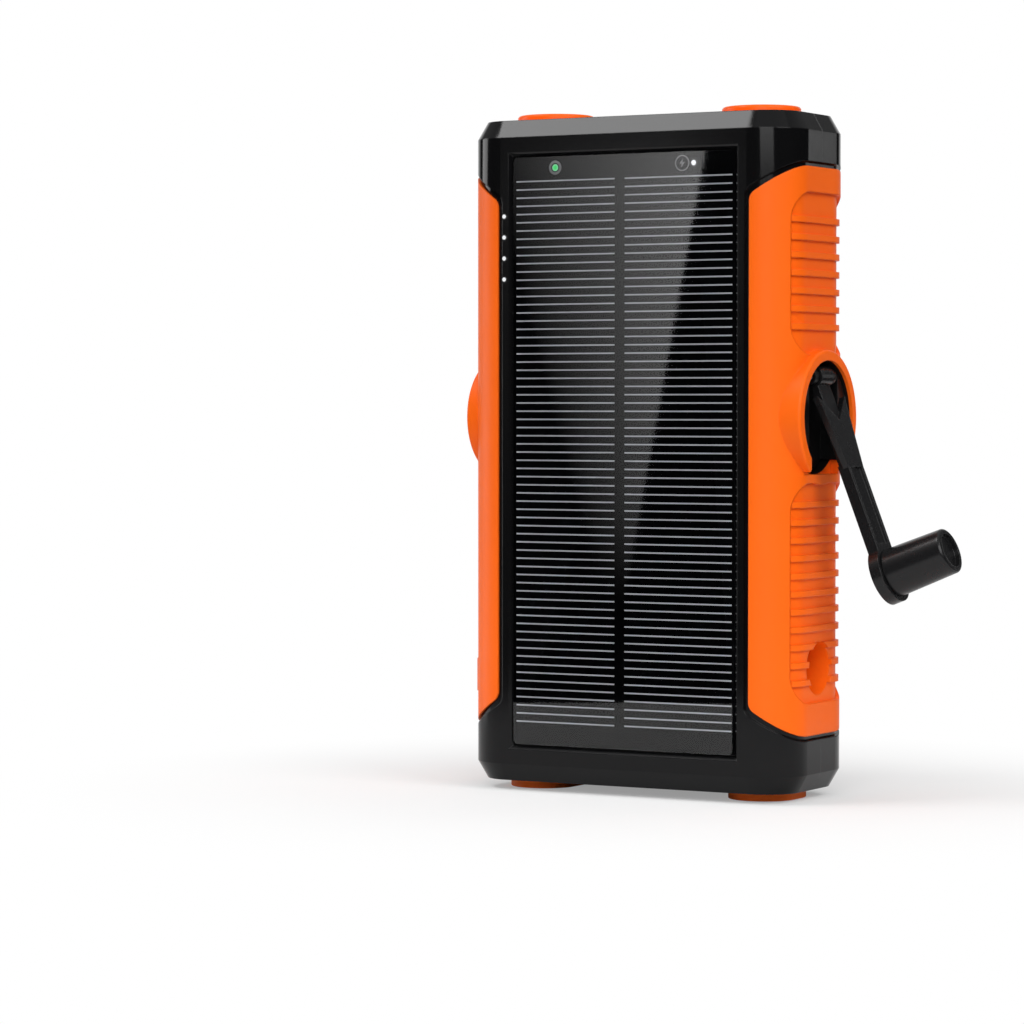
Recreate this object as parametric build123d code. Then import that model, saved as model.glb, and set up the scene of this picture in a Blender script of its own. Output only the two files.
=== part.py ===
from build123d import *
import math
import os

# Hand crank phone charger with a solar face, standing on its two feet.
# Millimetres. +Z runs up to the lamp end, -Y is the solar face, +Y the back with the leads,
# +X the crank side and -X the compass side. Heights are given above the case's underside,
# and every piece is lifted by the height of the feet when it is written.

# ---- case ------------------------------------------------------------------
CASE_WIDTH = 90.6
CASE_DEPTH = 38.4
CASE_HEIGHT = 165.0
CORNER_R = 11.2
TOP_BEVEL = 4.4
BOTTOM_BEVEL = 4.4
BEVEL_RUN = 2.5
END_WALL = 3.0
FACE_WALL = 3.7
SIDE_WALL = 1.7
FIT = 0.1                    # gap between pieces that are assembled and stay put
HALF_W = CASE_WIDTH / 2
HALF_D = CASE_DEPTH / 2
CLEAR = 15.0                 # how far past the case's sides a cut runs

# ---- side grips --------------------------------------------------------------
GRIP_SKIN = 3.0
GRIP_EDGE_X = HALF_W - 10.5  # front and back edge of a grip, from the middle plane
GRIP_SIDE_TOP = CASE_HEIGHT - 13.2
GRIP_SIDE_BOTTOM = 13.8
GRIP_SLOPE = 7.1             # how much nearer the middle the grip ends at its front edge
GRIP_CORNER_R = 3.0
GROOVE_WIDTH = 1.2
GROOVE_DEPTH = 0.7
RECESS_HALF = 14.0
CRANK_RECESS_FAR = 18.0      # the crank-side recesses run on round the back corner
RECESS_END_R = 7.0
CRANK_RECESS_DEPTH = 1.0
COMPASS_RECESS_DEPTH = 2.0
RIB_PITCH = 4.32
RIB_THICK = 1.5
RIB_TOP_DROP = 0.25          # how far the ribs stay below the grip's own surface
CRANK_Z = 91.1
RECESS_LOW = (21.6, CRANK_Z - 16.0)
RECESS_HIGH = (CRANK_Z + 15.2, CASE_HEIGHT - 19.4)
COMPASS_RECESS_LOW = (21.1, CRANK_Z - 17.1)
COMPASS_RECESS_HIGH = (CRANK_Z + 18.9, CASE_HEIGHT - 19.4)

# ---- crank -------------------------------------------------------------------
BOSS_STAND = 1.85
BOSS_R = 16.45
BOSS_BORE_R = 13.86
BOSS_TUBE_WALL = 1.3
BOSS_NOTCH_HALF = 9.7
WELL_FLOOR_X = HALF_W - 12.3
WELL_FLOOR = 1.6
HUB_GAP = 0.5
HUB_RIM_X = HALF_W + 0.3
HUB_FLOOR_X = HALF_W - 4.3
HUB_SLOT_HALF = 8.2
PIN_X = HALF_W - 0.9
PIN_RISE = 9.9               # hinge pin above the crank's axis
PIN_R = 1.1
EAR_R = 2.0
EAR_INNER = 3.75
EAR_OUTER = 6.0
ARM_TILT = 21.3              # degrees that the open arm leans outward
ARM_LENGTH = 51.4            # hinge pin to knob axis
ARM_THICK = 2.8
ARM_WIDTH = 8.4
ARM_TONGUE = 6.8
ARM_FLARE = 15.6
ARM_FLARE_START = 5.6
ARM_FLARE_END = 24.0
ARM_NOTCH_DEPTH = 6.4
ARM_END_R = 7.2
ARM_RIM = 0.9
KNUCKLE_R = 2.6
KNOB_LENGTH = 15.8
KNOB_R = 6.0
KNOB_TIP_R = 5.6
KNOB_DISH = 1.2
KNOB_BORE_R = 1.8
SHAFT_CLEARANCE = 0.05
BUSH_R = 4.2
POCKET_DROP = 61.2           # knob pocket below the crank's axis
POCKET_R = 6.5
POCKET_DEPTH = 17.2
POCKET_WALL = 1.4

# ---- gear train ----------------------------------------------------------------
MODULE = 0.6
PRESSURE_ANGLE = 25.0
BACKLASH = 0.10
CRANK_TEETH = 36
PINION_TEETH = 12
IDLER_TEETH = 30
CRANK_SHAFT_R = 2.5
SMALL_SHAFT_R = 1.0
PLATE_THICK = 1.4
PLATE_GAP = 13.4
GEARBOX_HALF_WIDTH = 11.8
CAN_R = 11.0
CAN_LENGTH = 18.9
CAN_WALL = 0.7

# ---- solar face ------------------------------------------------------------------
GLASS_WIDTH = CASE_WIDTH - 29.6
GLASS_BOTTOM = 9.4
GLASS_TOP = CASE_HEIGHT - 9.5
GLASS_THICK = 1.1
CELL_THICK = 0.5
GLASS_DROP = 0.3
GLASS_GAP = 0.3
LEVEL_LIGHT_X = -GLASS_WIDTH / 2 - 2.5
LEVEL_LIGHT_TOP = CASE_HEIGHT - 24.0
LEVEL_LIGHT_PITCH = 5.22
LEVEL_LIGHT_R = 0.75
STATUS_LIGHT_X = 19.2
STATUS_LIGHT_Z = GLASS_TOP - 2.7
STATUS_LIGHT_R = 1.0

# ---- lamp end ----------------------------------------------------------------------
END_PLATE_MARGIN = 3.15
END_PLATE_THICK = 2.4
END_PLATE_R = 9.7
LAMP_X = HALF_W - 16.5
BEZEL_R = 9.7
BEZEL_STAND = 2.0
LENS_R = 8.2
LENS_LIP_R = 7.85
LENS_THICK = 1.2
REFLECTOR_DEPTH = 9.5
LAMP_BOARD_R = 7.4
COVER_WIDTH = 36.0
COVER_FRONT = -7.5
COVER_BACK = 9.4
COVER_R = 3.0
COVER_THICK = 1.7
COVER_GAP = 0.3
TAB_WIDTH = 8.0
TAB_REACH = 2.1
PORT_HOLE_X = (-17.0, 17.0)
PORT_HOLE_Y = (-4.2, 5.0)

# ---- back ----------------------------------------------------------------------------
PAD_Z = 37.0
PAD_R = 31.0
PAD_THICK = 1.7
LEAD_PITCH = 18.9
STRAP_WIDTH = 4.8
STRAP_THICK = 2.4
STRAP_GAP = 0.35
CHANNEL_DEPTH = 2.0
POCKET_FLOOR_Y = 14.2
PLUG_BOTTOM = 83.2
PLUG_TOP = 97.0
PLUG_PROUD = 1.2
TIP_BOTTOM = 78.8
TONGUE_BOTTOM = 79.4
TONGUE_TOP = 90.6
LEAD_POCKET_BOTTOM = 71.0
LEAD_POCKET_WALL = 1.3
PHONE_PLUG_WIDTH = 11.0
USB_PLUG_WIDTH = 13.4
MICRO_PLUG_WIDTH = 9.8
STRAP_BEND_Z = CASE_HEIGHT - 5.0
ROOT_Y = 16.2
ROOT_DROP = 0.4
STRAP_MID_Y = HALF_D - CHANNEL_DEPTH + STRAP_GAP + STRAP_THICK / 2

# ---- compass side --------------------------------------------------------------------
COMPASS_STAND = 1.46
COMPASS_BOSS_R = 14.5
COMPASS_BORE_R = 13.1
COMPASS_DEPTH = 6.9
BOWL_WALL = 0.9
CARD_R = 10.8
PIVOT_R = 0.5
BUTTON_Z = CRANK_Z + 40.5
BUTTON_R = 6.5
BUTTON_FLANGE_R = 7.2
BUTTON_GAP = 0.25
BUTTON_STAND = 0.5
BUTTON_TRAVEL = 0.8
EYE_BOTTOM = 21.3
EYE_TOP = 35.0
EYE_OUT = 2.9                # how far the lanyard eye stands out of the side plane

# ---- feet, boards and cells ---------------------------------------------------------------
FOOT_X = HALF_W - 14.6
FOOT_HALF_WIDTH = 8.5
FOOT_HALF_DEPTH = 10.9
FOOT_CORNER_R = 8.4
FOOT_HEIGHT = 2.4
FOOT_SPIGOT = 1.0
FOOT_EDGE_R = 0.25
BOARD_THICK = 1.6
BOARD_HALF_WIDTH = HALF_W - 11.9
BOARD_BOTTOM = 109.0
BATTERY_THICK = 10.0
UPPER_CELL_TOP = CASE_HEIGHT - 14.0
LOWER_CELL_BOTTOM = 7.0
LOWER_CELL_GAP = 2.1         # between the lower cells and the generator above them
COIL_THICK = 1.6
FERRITE_THICK = 0.8
BOARD_BACK_Y = -2.0
BOARD_POST_X = BOARD_HALF_WIDTH - 2.8
BOARD_POST_HEIGHTS = (BOARD_BOTTOM + 3.5, CASE_HEIGHT - 20.0)
SCREW_X = HALF_W - 8.1
SCREW_SEAT_Y = 11.0
SCREW_HEIGHTS = (55.0, 117.0)
SCREW_R = 1.1
SCREW_HEAD_R = 2.1
SCREW_BOSS_R = 2.9

PLATE_TOP = CASE_HEIGHT
PLATE_BOTTOM = CASE_HEIGHT - END_PLATE_THICK
CAVITY_HALF_W = HALF_W - GRIP_SKIN - FIT - SIDE_WALL
CAVITY_HALF_D = HALF_D - FACE_WALL


# ---- helpers --------------------------------------------------------------------------------
def upright(half_w, half_d, radius, bottom, top):
    """An upright block with rounded corners, centred on the Z axis."""
    outline = Plane.XY.offset(bottom) * RectangleRounded(2 * half_w, 2 * half_d, radius)
    return extrude(outline, amount=top - bottom)


def inset_block(inset, bottom=-5.0, top=CASE_HEIGHT + 5.0):
    """The case's plan outline drawn in by an inset, as an upright block."""
    return upright(HALF_W - inset, HALF_D - inset, CORNER_R - inset, bottom, top)


def slab(x0, x1, y0, y1, z0, z1):
    """A plain block between two corners."""
    centre = Location(((x0 + x1) / 2, (y0 + y1) / 2, (z0 + z1) / 2))
    return centre * Box(abs(x1 - x0), abs(y1 - y0), abs(z1 - z0))


def rod_x(radius, x0, x1, y=0.0, z=0.0):
    """A round bar along X."""
    disc = Plane(origin=(min(x0, x1), y, z), x_dir=(0, 1, 0), z_dir=(1, 0, 0)) * Circle(radius)
    return extrude(disc, amount=abs(x1 - x0))


def rod_y(radius, y0, y1, x=0.0, z=0.0):
    """A round bar along Y."""
    disc = Plane(origin=(x, min(y0, y1), z), x_dir=(0, 0, 1), z_dir=(0, 1, 0)) * Circle(radius)
    return extrude(disc, amount=abs(y1 - y0))


def rod_z(radius, z0, z1, x=0.0, y=0.0):
    """A round bar along Z."""
    disc = Plane.XY.offset(min(z0, z1)) * Location((x, y)) * Circle(radius)
    return extrude(disc, amount=abs(z1 - z0))


def rounded_bar_x(half_y, y_mid, z0, z1, radius, x0, x1):
    """A bar along X with a rounded rectangular section in the YZ plane."""
    plane = Plane(origin=(min(x0, x1), y_mid, (z0 + z1) / 2), x_dir=(0, 1, 0), z_dir=(1, 0, 0))
    return extrude(plane * RectangleRounded(2 * half_y, z1 - z0, radius), amount=abs(x1 - x0))


def prism_x(points, x0, x1):
    """A prism along X from (y, z) points."""
    wire = Polyline(*[(x0, y, z) for y, z in points], close=True)
    return extrude(make_face(wire), amount=abs(x1 - x0), dir=(1, 0, 0))


def prism_y(points, y0, y1):
    """A prism along Y from (x, z) points."""
    wire = Polyline(*[(x, y0, z) for x, z in points], close=True)
    return extrude(make_face(wire), amount=abs(y1 - y0), dir=(0, 1, 0))


def fused(pieces):
    """One solid from several that touch or overlap."""
    body = pieces[0]
    for piece in pieces[1:]:
        body = body + piece
    return body


def write(name, shape):
    """Lift a finished sub-part on to its feet and write it under its node name."""
    os.makedirs("parts", exist_ok=True)
    solids = shape.solids() if hasattr(shape, "solids") else [shape]
    lifted = [solid.moved(Location((0, 0, FOOT_HEIGHT))) for solid in solids]
    export_step(lifted[0] if len(lifted) == 1 else Compound(children=lifted), f"parts/{name}.step")


# ---- case shells ------------------------------------------------------------------------------
def bevelled_case():
    """The outer form: a rounded block with a bevel round each end."""
    def section(z, inset):
        return Plane.XY.offset(z) * RectangleRounded(
            CASE_WIDTH - 2 * inset, CASE_DEPTH - 2 * inset, CORNER_R - inset)
    foot = loft([section(0, BEVEL_RUN), section(BOTTOM_BEVEL, 0)], ruled=True)
    middle = inset_block(0, BOTTOM_BEVEL, CASE_HEIGHT - TOP_BEVEL)
    head = loft([section(CASE_HEIGHT - TOP_BEVEL, 0), section(CASE_HEIGHT, BEVEL_RUN)], ruled=True)
    return foot + middle + head


def grip_prism(side, grow=0.0):
    """The region of one side that its grip covers, seen from the front."""
    edge = side * (GRIP_EDGE_X - grow)
    wall = side * HALF_W
    far = side * (HALF_W + 8.0)
    low, high = GRIP_SIDE_BOTTOM - grow, GRIP_SIDE_TOP + grow
    points = [(edge, low + GRIP_SLOPE), (wall, low), (far, low), (far, high), (wall, high),
              (edge, high - GRIP_SLOPE)]
    prism = prism_y(points, -HALF_D - 1.0, HALF_D + 1.0)
    corners = [e for e in prism.edges().filter_by(Axis.Y) if abs(e.center().X - edge) < 0.01]
    return fillet(corners, GRIP_CORNER_R)


def case_block():
    """The case with the grips' seats, their shadow grooves, the end recess and the hollow."""
    block = bevelled_case()
    core = inset_block(GRIP_SKIN + FIT)
    groove_core = inset_block(GROOVE_DEPTH)
    for side in (1, -1):
        block -= grip_prism(side) - core
        block -= grip_prism(side, GROOVE_WIDTH) - groove_core
    block -= upright(HALF_W - END_PLATE_MARGIN, HALF_D - END_PLATE_MARGIN, END_PLATE_R,
                     PLATE_BOTTOM, PLATE_TOP + 1.0)
    hollow = upright(CAVITY_HALF_W, CAVITY_HALF_D, CORNER_R - 4.0, END_WALL,
                     PLATE_BOTTOM - END_WALL + 0.8)
    block -= hollow
    for side in (1, -1):
        block -= rod_z(LENS_R + 0.15, PLATE_BOTTOM - 6.0, PLATE_TOP, side * LAMP_X)
        block -= foot_pad(side, FIT, -1.0, FOOT_SPIGOT)
    block -= slab(*PORT_HOLE_X, *PORT_HOLE_Y, PLATE_BOTTOM - 6.0, PLATE_TOP)
    # side openings for the hub well, the knob pocket, the compass and the button
    block -= rod_x(BOSS_BORE_R + BOSS_TUBE_WALL + FIT, HALF_W - 15.3, HALF_W + CLEAR, 0, CRANK_Z)
    block -= rod_x(POCKET_R + POCKET_WALL + FIT, HALF_W - 9.3, HALF_W + CLEAR, 0,
                   CRANK_Z - POCKET_DROP)
    block -= rod_x(COMPASS_BORE_R + 1.2 + FIT, -HALF_W - CLEAR, 9.3 - HALF_W, 0, CRANK_Z)
    block -= rod_x(BUTTON_FLANGE_R + 0.4, -HALF_W - CLEAR, 9.3 - HALF_W, 0, BUTTON_Z)
    return block




def screw_posts(y_near, y_far):
    """Four posts, one beside each case screw."""
    inside = inset_block(GRIP_SKIN + FIT + 0.5)
    return [rod_y(SCREW_BOSS_R, y_near, y_far, side * SCREW_X, z) & inside
            for side in (1, -1) for z in SCREW_HEIGHTS]


def front_shell(block):
    """Solar half of the case."""
    shell = block & slab(-HALF_W - CLEAR, HALF_W + CLEAR, -HALF_D - CLEAR, 0, -2, CASE_HEIGHT + 2)
    inner_face = -CAVITY_HALF_D
    shell = fused([shell] + screw_posts(inner_face - 0.2, 0))
    for side in (1, -1):
        for z in SCREW_HEIGHTS:
            shell -= rod_y(SCREW_R + 0.02, -12.0, 1.0, side * SCREW_X, z)
    half_glass = GLASS_WIDTH / 2 + GLASS_GAP
    floor_y = -HALF_D + GLASS_DROP + GLASS_THICK + CELL_THICK
    shell -= slab(-half_glass, half_glass, -HALF_D - 1, floor_y,
                  GLASS_BOTTOM - GLASS_GAP, GLASS_TOP + GLASS_GAP)
    # sloping rim round the glass
    rim = 1.0
    outer = Plane.XZ.offset(HALF_D) * Location((0, (GLASS_BOTTOM + GLASS_TOP) / 2)) * Rectangle(
        2 * (half_glass + rim), GLASS_TOP - GLASS_BOTTOM + 2 * (GLASS_GAP + rim))
    inner = Plane.XZ.offset(HALF_D - rim) * Location((0, (GLASS_BOTTOM + GLASS_TOP) / 2)) * Rectangle(
        2 * half_glass, GLASS_TOP - GLASS_BOTTOM + 2 * GLASS_GAP)
    shell -= loft([outer, inner], ruled=True)
    for index in range(4):
        shell -= rod_y(LEVEL_LIGHT_R + 0.02, -HALF_D - 1, inner_face + 1, LEVEL_LIGHT_X,
                       LEVEL_LIGHT_TOP - index * LEVEL_LIGHT_PITCH)
    for side in (1, -1):
        shell -= rod_y(STATUS_LIGHT_R + 0.02, -HALF_D, inner_face + 1, side * STATUS_LIGHT_X,
                       STATUS_LIGHT_Z)
    return shell


def lead_layout():
    """Name, centre, plug width and tip kind of each built-in lead."""
    return [("phone", LEAD_PITCH, PHONE_PLUG_WIDTH),
            ("usb", 0.0, USB_PLUG_WIDTH),
            ("micro", -LEAD_PITCH, MICRO_PLUG_WIDTH)]


def lead_pocket(x, width, grow=0.0, floor_y=POCKET_FLOOR_Y):
    """Well in the back that holds one plug, with room for a fingertip past its end."""
    half = width / 2 + 0.35 + grow
    low, high = LEAD_POCKET_BOTTOM - grow, PLUG_TOP + 0.6 + grow
    plane = Plane(origin=(x, floor_y - grow, (low + high) / 2), x_dir=(1, 0, 0), z_dir=(0, 1, 0))
    well = extrude(plane * Rectangle(2 * half, high - low), amount=HALF_D + 1 - floor_y + grow)
    bottom = [e for e in well.edges().filter_by(Axis.Y) if e.center().Z < low + 0.01]
    return fillet(bottom, 4.0)


def lead_channel(x):
    """Channel that holds one strap, running up the back and over the end bevel."""
    half = STRAP_WIDTH / 2 + STRAP_GAP
    floor = HALF_D - CHANNEL_DEPTH
    top = CASE_HEIGHT + 1.0
    points = [(floor, PLUG_TOP - 1), (HALF_D + 2, PLUG_TOP - 1), (HALF_D + 2, top),
              (floor - 3.0, top), (floor - 2.6, CASE_HEIGHT), (floor, STRAP_BEND_Z - 0.4)]
    return prism_x(points, x - half, x + half)


def back_shell(block):
    """Back half of the case, with the pad's seat and the leads' pockets and channels."""
    shell = block & slab(-HALF_W - CLEAR, HALF_W + CLEAR, 0, HALF_D + CLEAR, -2, CASE_HEIGHT + 2)
    inner_face = CAVITY_HALF_D
    pieces = [shell] + screw_posts(0, inner_face + 0.2)
    keep = inset_block(1.0, END_WALL, PLATE_BOTTOM)
    for _, x, width in lead_layout():
        pieces.append(lead_pocket(x, width, LEAD_POCKET_WALL) & keep)
    for side in (1, -1):
        for z in BOARD_POST_HEIGHTS:
            pieces.append(rod_y(2.2, BOARD_BACK_Y, inner_face + 0.2, side * BOARD_POST_X, z))
    shell = fused(pieces)
    for _, x, width in lead_layout():
        shell -= lead_pocket(x, width)
        shell -= lead_channel(x)
    for side in (1, -1):
        for z in SCREW_HEIGHTS:
            shell -= rod_y(SCREW_R + 0.15, -1.0, 30.0, side * SCREW_X, z)
            shell -= rod_y(SCREW_HEAD_R + 0.15, SCREW_SEAT_Y, 30.0, side * SCREW_X, z)
        for z in BOARD_POST_HEIGHTS:
            shell -= rod_y(0.85, BOARD_BACK_Y - 1, BOARD_BACK_Y + 5.5, side * BOARD_POST_X, z)
    shell -= rod_y(PAD_R + 0.3, HALF_D - PAD_THICK, HALF_D + 2, 0, PAD_Z)
    return shell


def case_screws():
    """Case screws, driven from the back and hidden under the grips."""
    screws = []
    for side in (1, -1):
        for z in SCREW_HEIGHTS:
            shank = rod_y(SCREW_R, -10.0, SCREW_SEAT_Y, side * SCREW_X, z)
            head = rod_y(SCREW_HEAD_R, SCREW_SEAT_Y, SCREW_SEAT_Y + 1.6, side * SCREW_X, z)
            slot = slab(side * SCREW_X - 1.4, side * SCREW_X + 1.4, SCREW_SEAT_Y + 1.0,
                        SCREW_SEAT_Y + 2, z - 0.3, z + 0.3)
            screws.append(shank + head - slot)
    return Compound(children=[s.solid() for s in screws])


# ---- grips -----------------------------------------------------------------------------------
def grip_skin(side, recess_depth, far, zones, rib_skip):
    """One side grip: a skin over the case with ribbed recesses from near the front to y = far."""
    y_mid, half = (far - RECESS_HALF) / 2, (far + RECESS_HALF) / 2
    skin = (bevelled_case() & grip_prism(side)) - inset_block(GRIP_SKIN)
    cut_block = inset_block(recess_depth)
    x0, x1 = side * (HALF_W - 15.3), side * (HALF_W + CLEAR)
    for low, high in zones:
        zone = rounded_bar_x(half, y_mid, low, high, RECESS_END_R, min(x0, x1), max(x0, x1))
        skin -= zone - cut_block
    band = inset_block(RIB_TOP_DROP) - inset_block(recess_depth + 0.4)
    ribs = []
    for low, high in zones:
        count = int((high - low - 5.0) // RIB_PITCH)
        start = (low + high) / 2 - (count - 1) * RIB_PITCH / 2
        for index in range(count):
            z = start + index * RIB_PITCH
            if rib_skip(z):
                continue
            reach = half - 0.4
            edge = min(z - low, high - z)
            if edge < RECESS_END_R:
                reach -= RECESS_END_R - math.sqrt(RECESS_END_R ** 2 - (RECESS_END_R - edge) ** 2)
            ribs.append(slab(x0, x1, y_mid - reach, y_mid + reach, z - RIB_THICK / 2,
                             z + RIB_THICK / 2) & band)
    return fused([skin] + ribs)


def ring_boss(side, radius, stand, round_off):
    """Round boss that stands out of a grip, down to the grip's inner face."""
    boss = rod_x(radius, side * (HALF_W - 9.3), side * (HALF_W + stand), 0, CRANK_Z)
    rim = boss.edges().filter_by(GeomType.CIRCLE).sort_by(Axis.X)[-1 if side > 0 else 0]
    return fillet(rim, round_off) - inset_block(GRIP_SKIN)


def crank_grip():
    """Crank-side grip with the hub's well and the knob's pocket."""
    pocket_z = CRANK_Z - POCKET_DROP
    grip = grip_skin(1, CRANK_RECESS_DEPTH, CRANK_RECESS_FAR, (RECESS_LOW, RECESS_HIGH),
                     lambda z: False)
    tube_r = BOSS_BORE_R + BOSS_TUBE_WALL
    well = rod_x(tube_r, WELL_FLOOR_X - WELL_FLOOR, HALF_W - 1.0, 0, CRANK_Z)
    floor_x = HALF_W - POCKET_DEPTH
    pocket = rod_x(POCKET_R + POCKET_WALL, floor_x - POCKET_WALL, HALF_W - 2.0, 0, pocket_z)
    grip = fused([grip, ring_boss(1, BOSS_R, BOSS_STAND, 0.7), well, pocket])
    grip -= rod_x(BOSS_BORE_R, WELL_FLOOR_X, HALF_W + CLEAR, 0, CRANK_Z)
    grip -= rod_x(POCKET_R, floor_x, HALF_W + CLEAR, 0, pocket_z)
    grip -= rod_x(BUSH_R, WELL_FLOOR_X - 13.0, WELL_FLOOR_X + 7.0, 0, CRANK_Z)
    # the opening is squared off at its foot and the ring lowered there, so that the arm can lie in
    notch_low = CRANK_Z - BOSS_BORE_R - 0.05
    grip -= slab(HALF_W - 2.2, HALF_W + CLEAR, -BOSS_NOTCH_HALF, BOSS_NOTCH_HALF, notch_low, CRANK_Z - 8.0)
    grip -= slab(HALF_W, HALF_W + CLEAR, -BOSS_NOTCH_HALF, BOSS_NOTCH_HALF, CRANK_Z - 20.0, CRANK_Z - 8.0)
    return grip


def compass_grip():
    """Compass-side grip with the compass boss, the button's ring and the lanyard eye."""
    def skip(z):
        return z < EYE_TOP - 8.0
    grip = grip_skin(-1, COMPASS_RECESS_DEPTH, RECESS_HALF,
                     (COMPASS_RECESS_LOW, COMPASS_RECESS_HIGH), skip)
    tube = rod_x(COMPASS_BORE_R + 1.2, -HALF_W + COMPASS_DEPTH - 2.6, -HALF_W + 1.0, 0, CRANK_Z)
    ring = rod_x(BUTTON_R + 2.0, -HALF_W + GRIP_SKIN, -HALF_W, 0, BUTTON_Z)
    nib = rod_x(1.1, -HALF_W + COMPASS_RECESS_DEPTH + 0.5, -HALF_W + 0.2, 10.0, BUTTON_Z)
    grip = fused([grip, ring_boss(-1, COMPASS_BOSS_R, COMPASS_STAND, 0.6), tube, ring, nib,
                  lanyard_eye()])
    grip -= rod_x(COMPASS_BORE_R, -HALF_W - CLEAR, 15.3 - HALF_W, 0, CRANK_Z)
    grip -= rod_x(BUTTON_R + BUTTON_GAP, -HALF_W - CLEAR, 15.3 - HALF_W, 0, BUTTON_Z)
    return grip


def lanyard_eye():
    """Small bridge with a slot through it, for a wrist cord."""
    root_x = -HALF_W + COMPASS_RECESS_DEPTH + 0.6
    out_x = -HALF_W - EYE_OUT
    points = [(root_x, EYE_BOTTOM - 1.0), (out_x, EYE_BOTTOM), (out_x, EYE_TOP - 5.5),
              (root_x, EYE_TOP)]
    bridge = prism_y(points, -6.5, -0.5)
    slot = [(root_x - 1.4, EYE_BOTTOM + 2.2), (out_x + 1.7, EYE_BOTTOM + 2.2),
            (out_x + 1.7, EYE_TOP - 7.6), (root_x - 1.4, EYE_TOP - 6.2)]
    return bridge - prism_y(slot, -7.5, 0.5)


# ---- solar face --------------------------------------------------------------------------------
def solar_face():
    """Cover glass, cell sheet, level lights, status lights and the board behind the level lights."""
    half = GLASS_WIDTH / 2
    glass_front = -HALF_D + GLASS_DROP
    glass_back = glass_front + GLASS_THICK
    cell_back = glass_back + CELL_THICK
    glass = slab(-half, half, glass_front, glass_back, GLASS_BOTTOM, GLASS_TOP)
    glass = fillet(glass.edges().filter_by(Axis.Y), 1.2)
    cells = slab(-half, half, glass_back, cell_back, GLASS_BOTTOM, GLASS_TOP)
    inner_face = -CAVITY_HALF_D
    board_face = inner_face + 0.5
    levels = [rod_y(LEVEL_LIGHT_R, -HALF_D, board_face, LEVEL_LIGHT_X,
                    LEVEL_LIGHT_TOP - index * LEVEL_LIGHT_PITCH) for index in range(4)]
    status = []
    for side in (-1, 1):
        status.append(rod_y(STATUS_LIGHT_R, glass_back, inner_face, side * STATUS_LIGHT_X,
                            STATUS_LIGHT_Z))
        cells -= rod_y(STATUS_LIGHT_R + 0.02, glass_back - 1, cell_back + 1,
                       side * STATUS_LIGHT_X, STATUS_LIGHT_Z)
    low = LEVEL_LIGHT_TOP - 3 * LEVEL_LIGHT_PITCH - 3.0
    board = slab(LEVEL_LIGHT_X - 1.3, LEVEL_LIGHT_X + 2.7, board_face, board_face + 1.0,
                 low, LEVEL_LIGHT_TOP + 3.0)
    write("solar_glass", glass)
    write("solar_cells", cells)
    write("level_lights", Compound(children=[r.solid() for r in levels]))
    write("status_lights", Compound(children=[r.solid() for r in status]))
    write("indicator_board", board)


# ---- lamp end ------------------------------------------------------------------------------------
def cover_outline(grow, z0, z1):
    """Port cover's outline with its finger tab, grown by a gap."""
    y_mid = (COVER_FRONT + COVER_BACK) / 2
    main = Plane.XY.offset(z0) * Location((0, y_mid)) * RectangleRounded(
        COVER_WIDTH + 2 * grow, COVER_BACK - COVER_FRONT + 2 * grow, COVER_R + grow)
    tab = Plane.XY.offset(z0) * Location((0, COVER_BACK)) * RectangleRounded(
        TAB_WIDTH + 2 * grow, 2 * (TAB_REACH + grow), 1.9)
    return extrude(main, amount=z1 - z0) + extrude(tab, amount=z1 - z0)


def end_plate():
    """Orange plate round the lamps and the ports, with a raised bezel round each lamp."""
    margin = END_PLATE_MARGIN + FIT
    plate = upright(HALF_W - margin, HALF_D - margin, END_PLATE_R - FIT, PLATE_BOTTOM, PLATE_TOP)
    groove_in, groove_width, groove_depth = 1.7, 0.6, 0.4
    ring = upright(HALF_W - margin - groove_in, HALF_D - margin - groove_in,
                   END_PLATE_R - groove_in, PLATE_TOP - groove_depth, PLATE_TOP + 1)
    core = upright(HALF_W - margin - groove_in - groove_width,
                   HALF_D - margin - groove_in - groove_width,
                   END_PLATE_R - groove_in - groove_width, PLATE_TOP - 1, PLATE_TOP + 1)
    plate -= ring - core
    for side in (1, -1):
        bezel = rod_z(BEZEL_R, PLATE_TOP - 1.0, PLATE_TOP + BEZEL_STAND, side * LAMP_X)
        rim = bezel.edges().filter_by(GeomType.CIRCLE).sort_by(Axis.Z)[-1]
        plate += fillet(rim, 0.8)
    lip = 0.6
    for side in (1, -1):
        plate -= rod_z(LENS_R + 0.05, PLATE_BOTTOM - 1, PLATE_TOP + BEZEL_STAND - lip,
                       side * LAMP_X)
        plate -= rod_z(LENS_LIP_R, PLATE_BOTTOM, PLATE_TOP + 9, side * LAMP_X)
    plate -= cover_outline(COVER_GAP, PLATE_TOP - 1.5, PLATE_TOP + 1)
    plate -= slab(*PORT_HOLE_X, *PORT_HOLE_Y, PLATE_BOTTOM - 1, PLATE_TOP)
    for _, x, _ in lead_layout():
        half = STRAP_WIDTH / 2 + STRAP_GAP
        plate -= slab(x - half, x + half, ROOT_Y - 3.4, HALF_D, PLATE_BOTTOM - 1, PLATE_TOP + 1)
    return plate


def port_cover():
    """Rubber flap over the ports, hinged along its front edge."""
    top = PLATE_TOP + COVER_THICK - 1.3
    return cover_outline(0.0, top - COVER_THICK, top)


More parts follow.
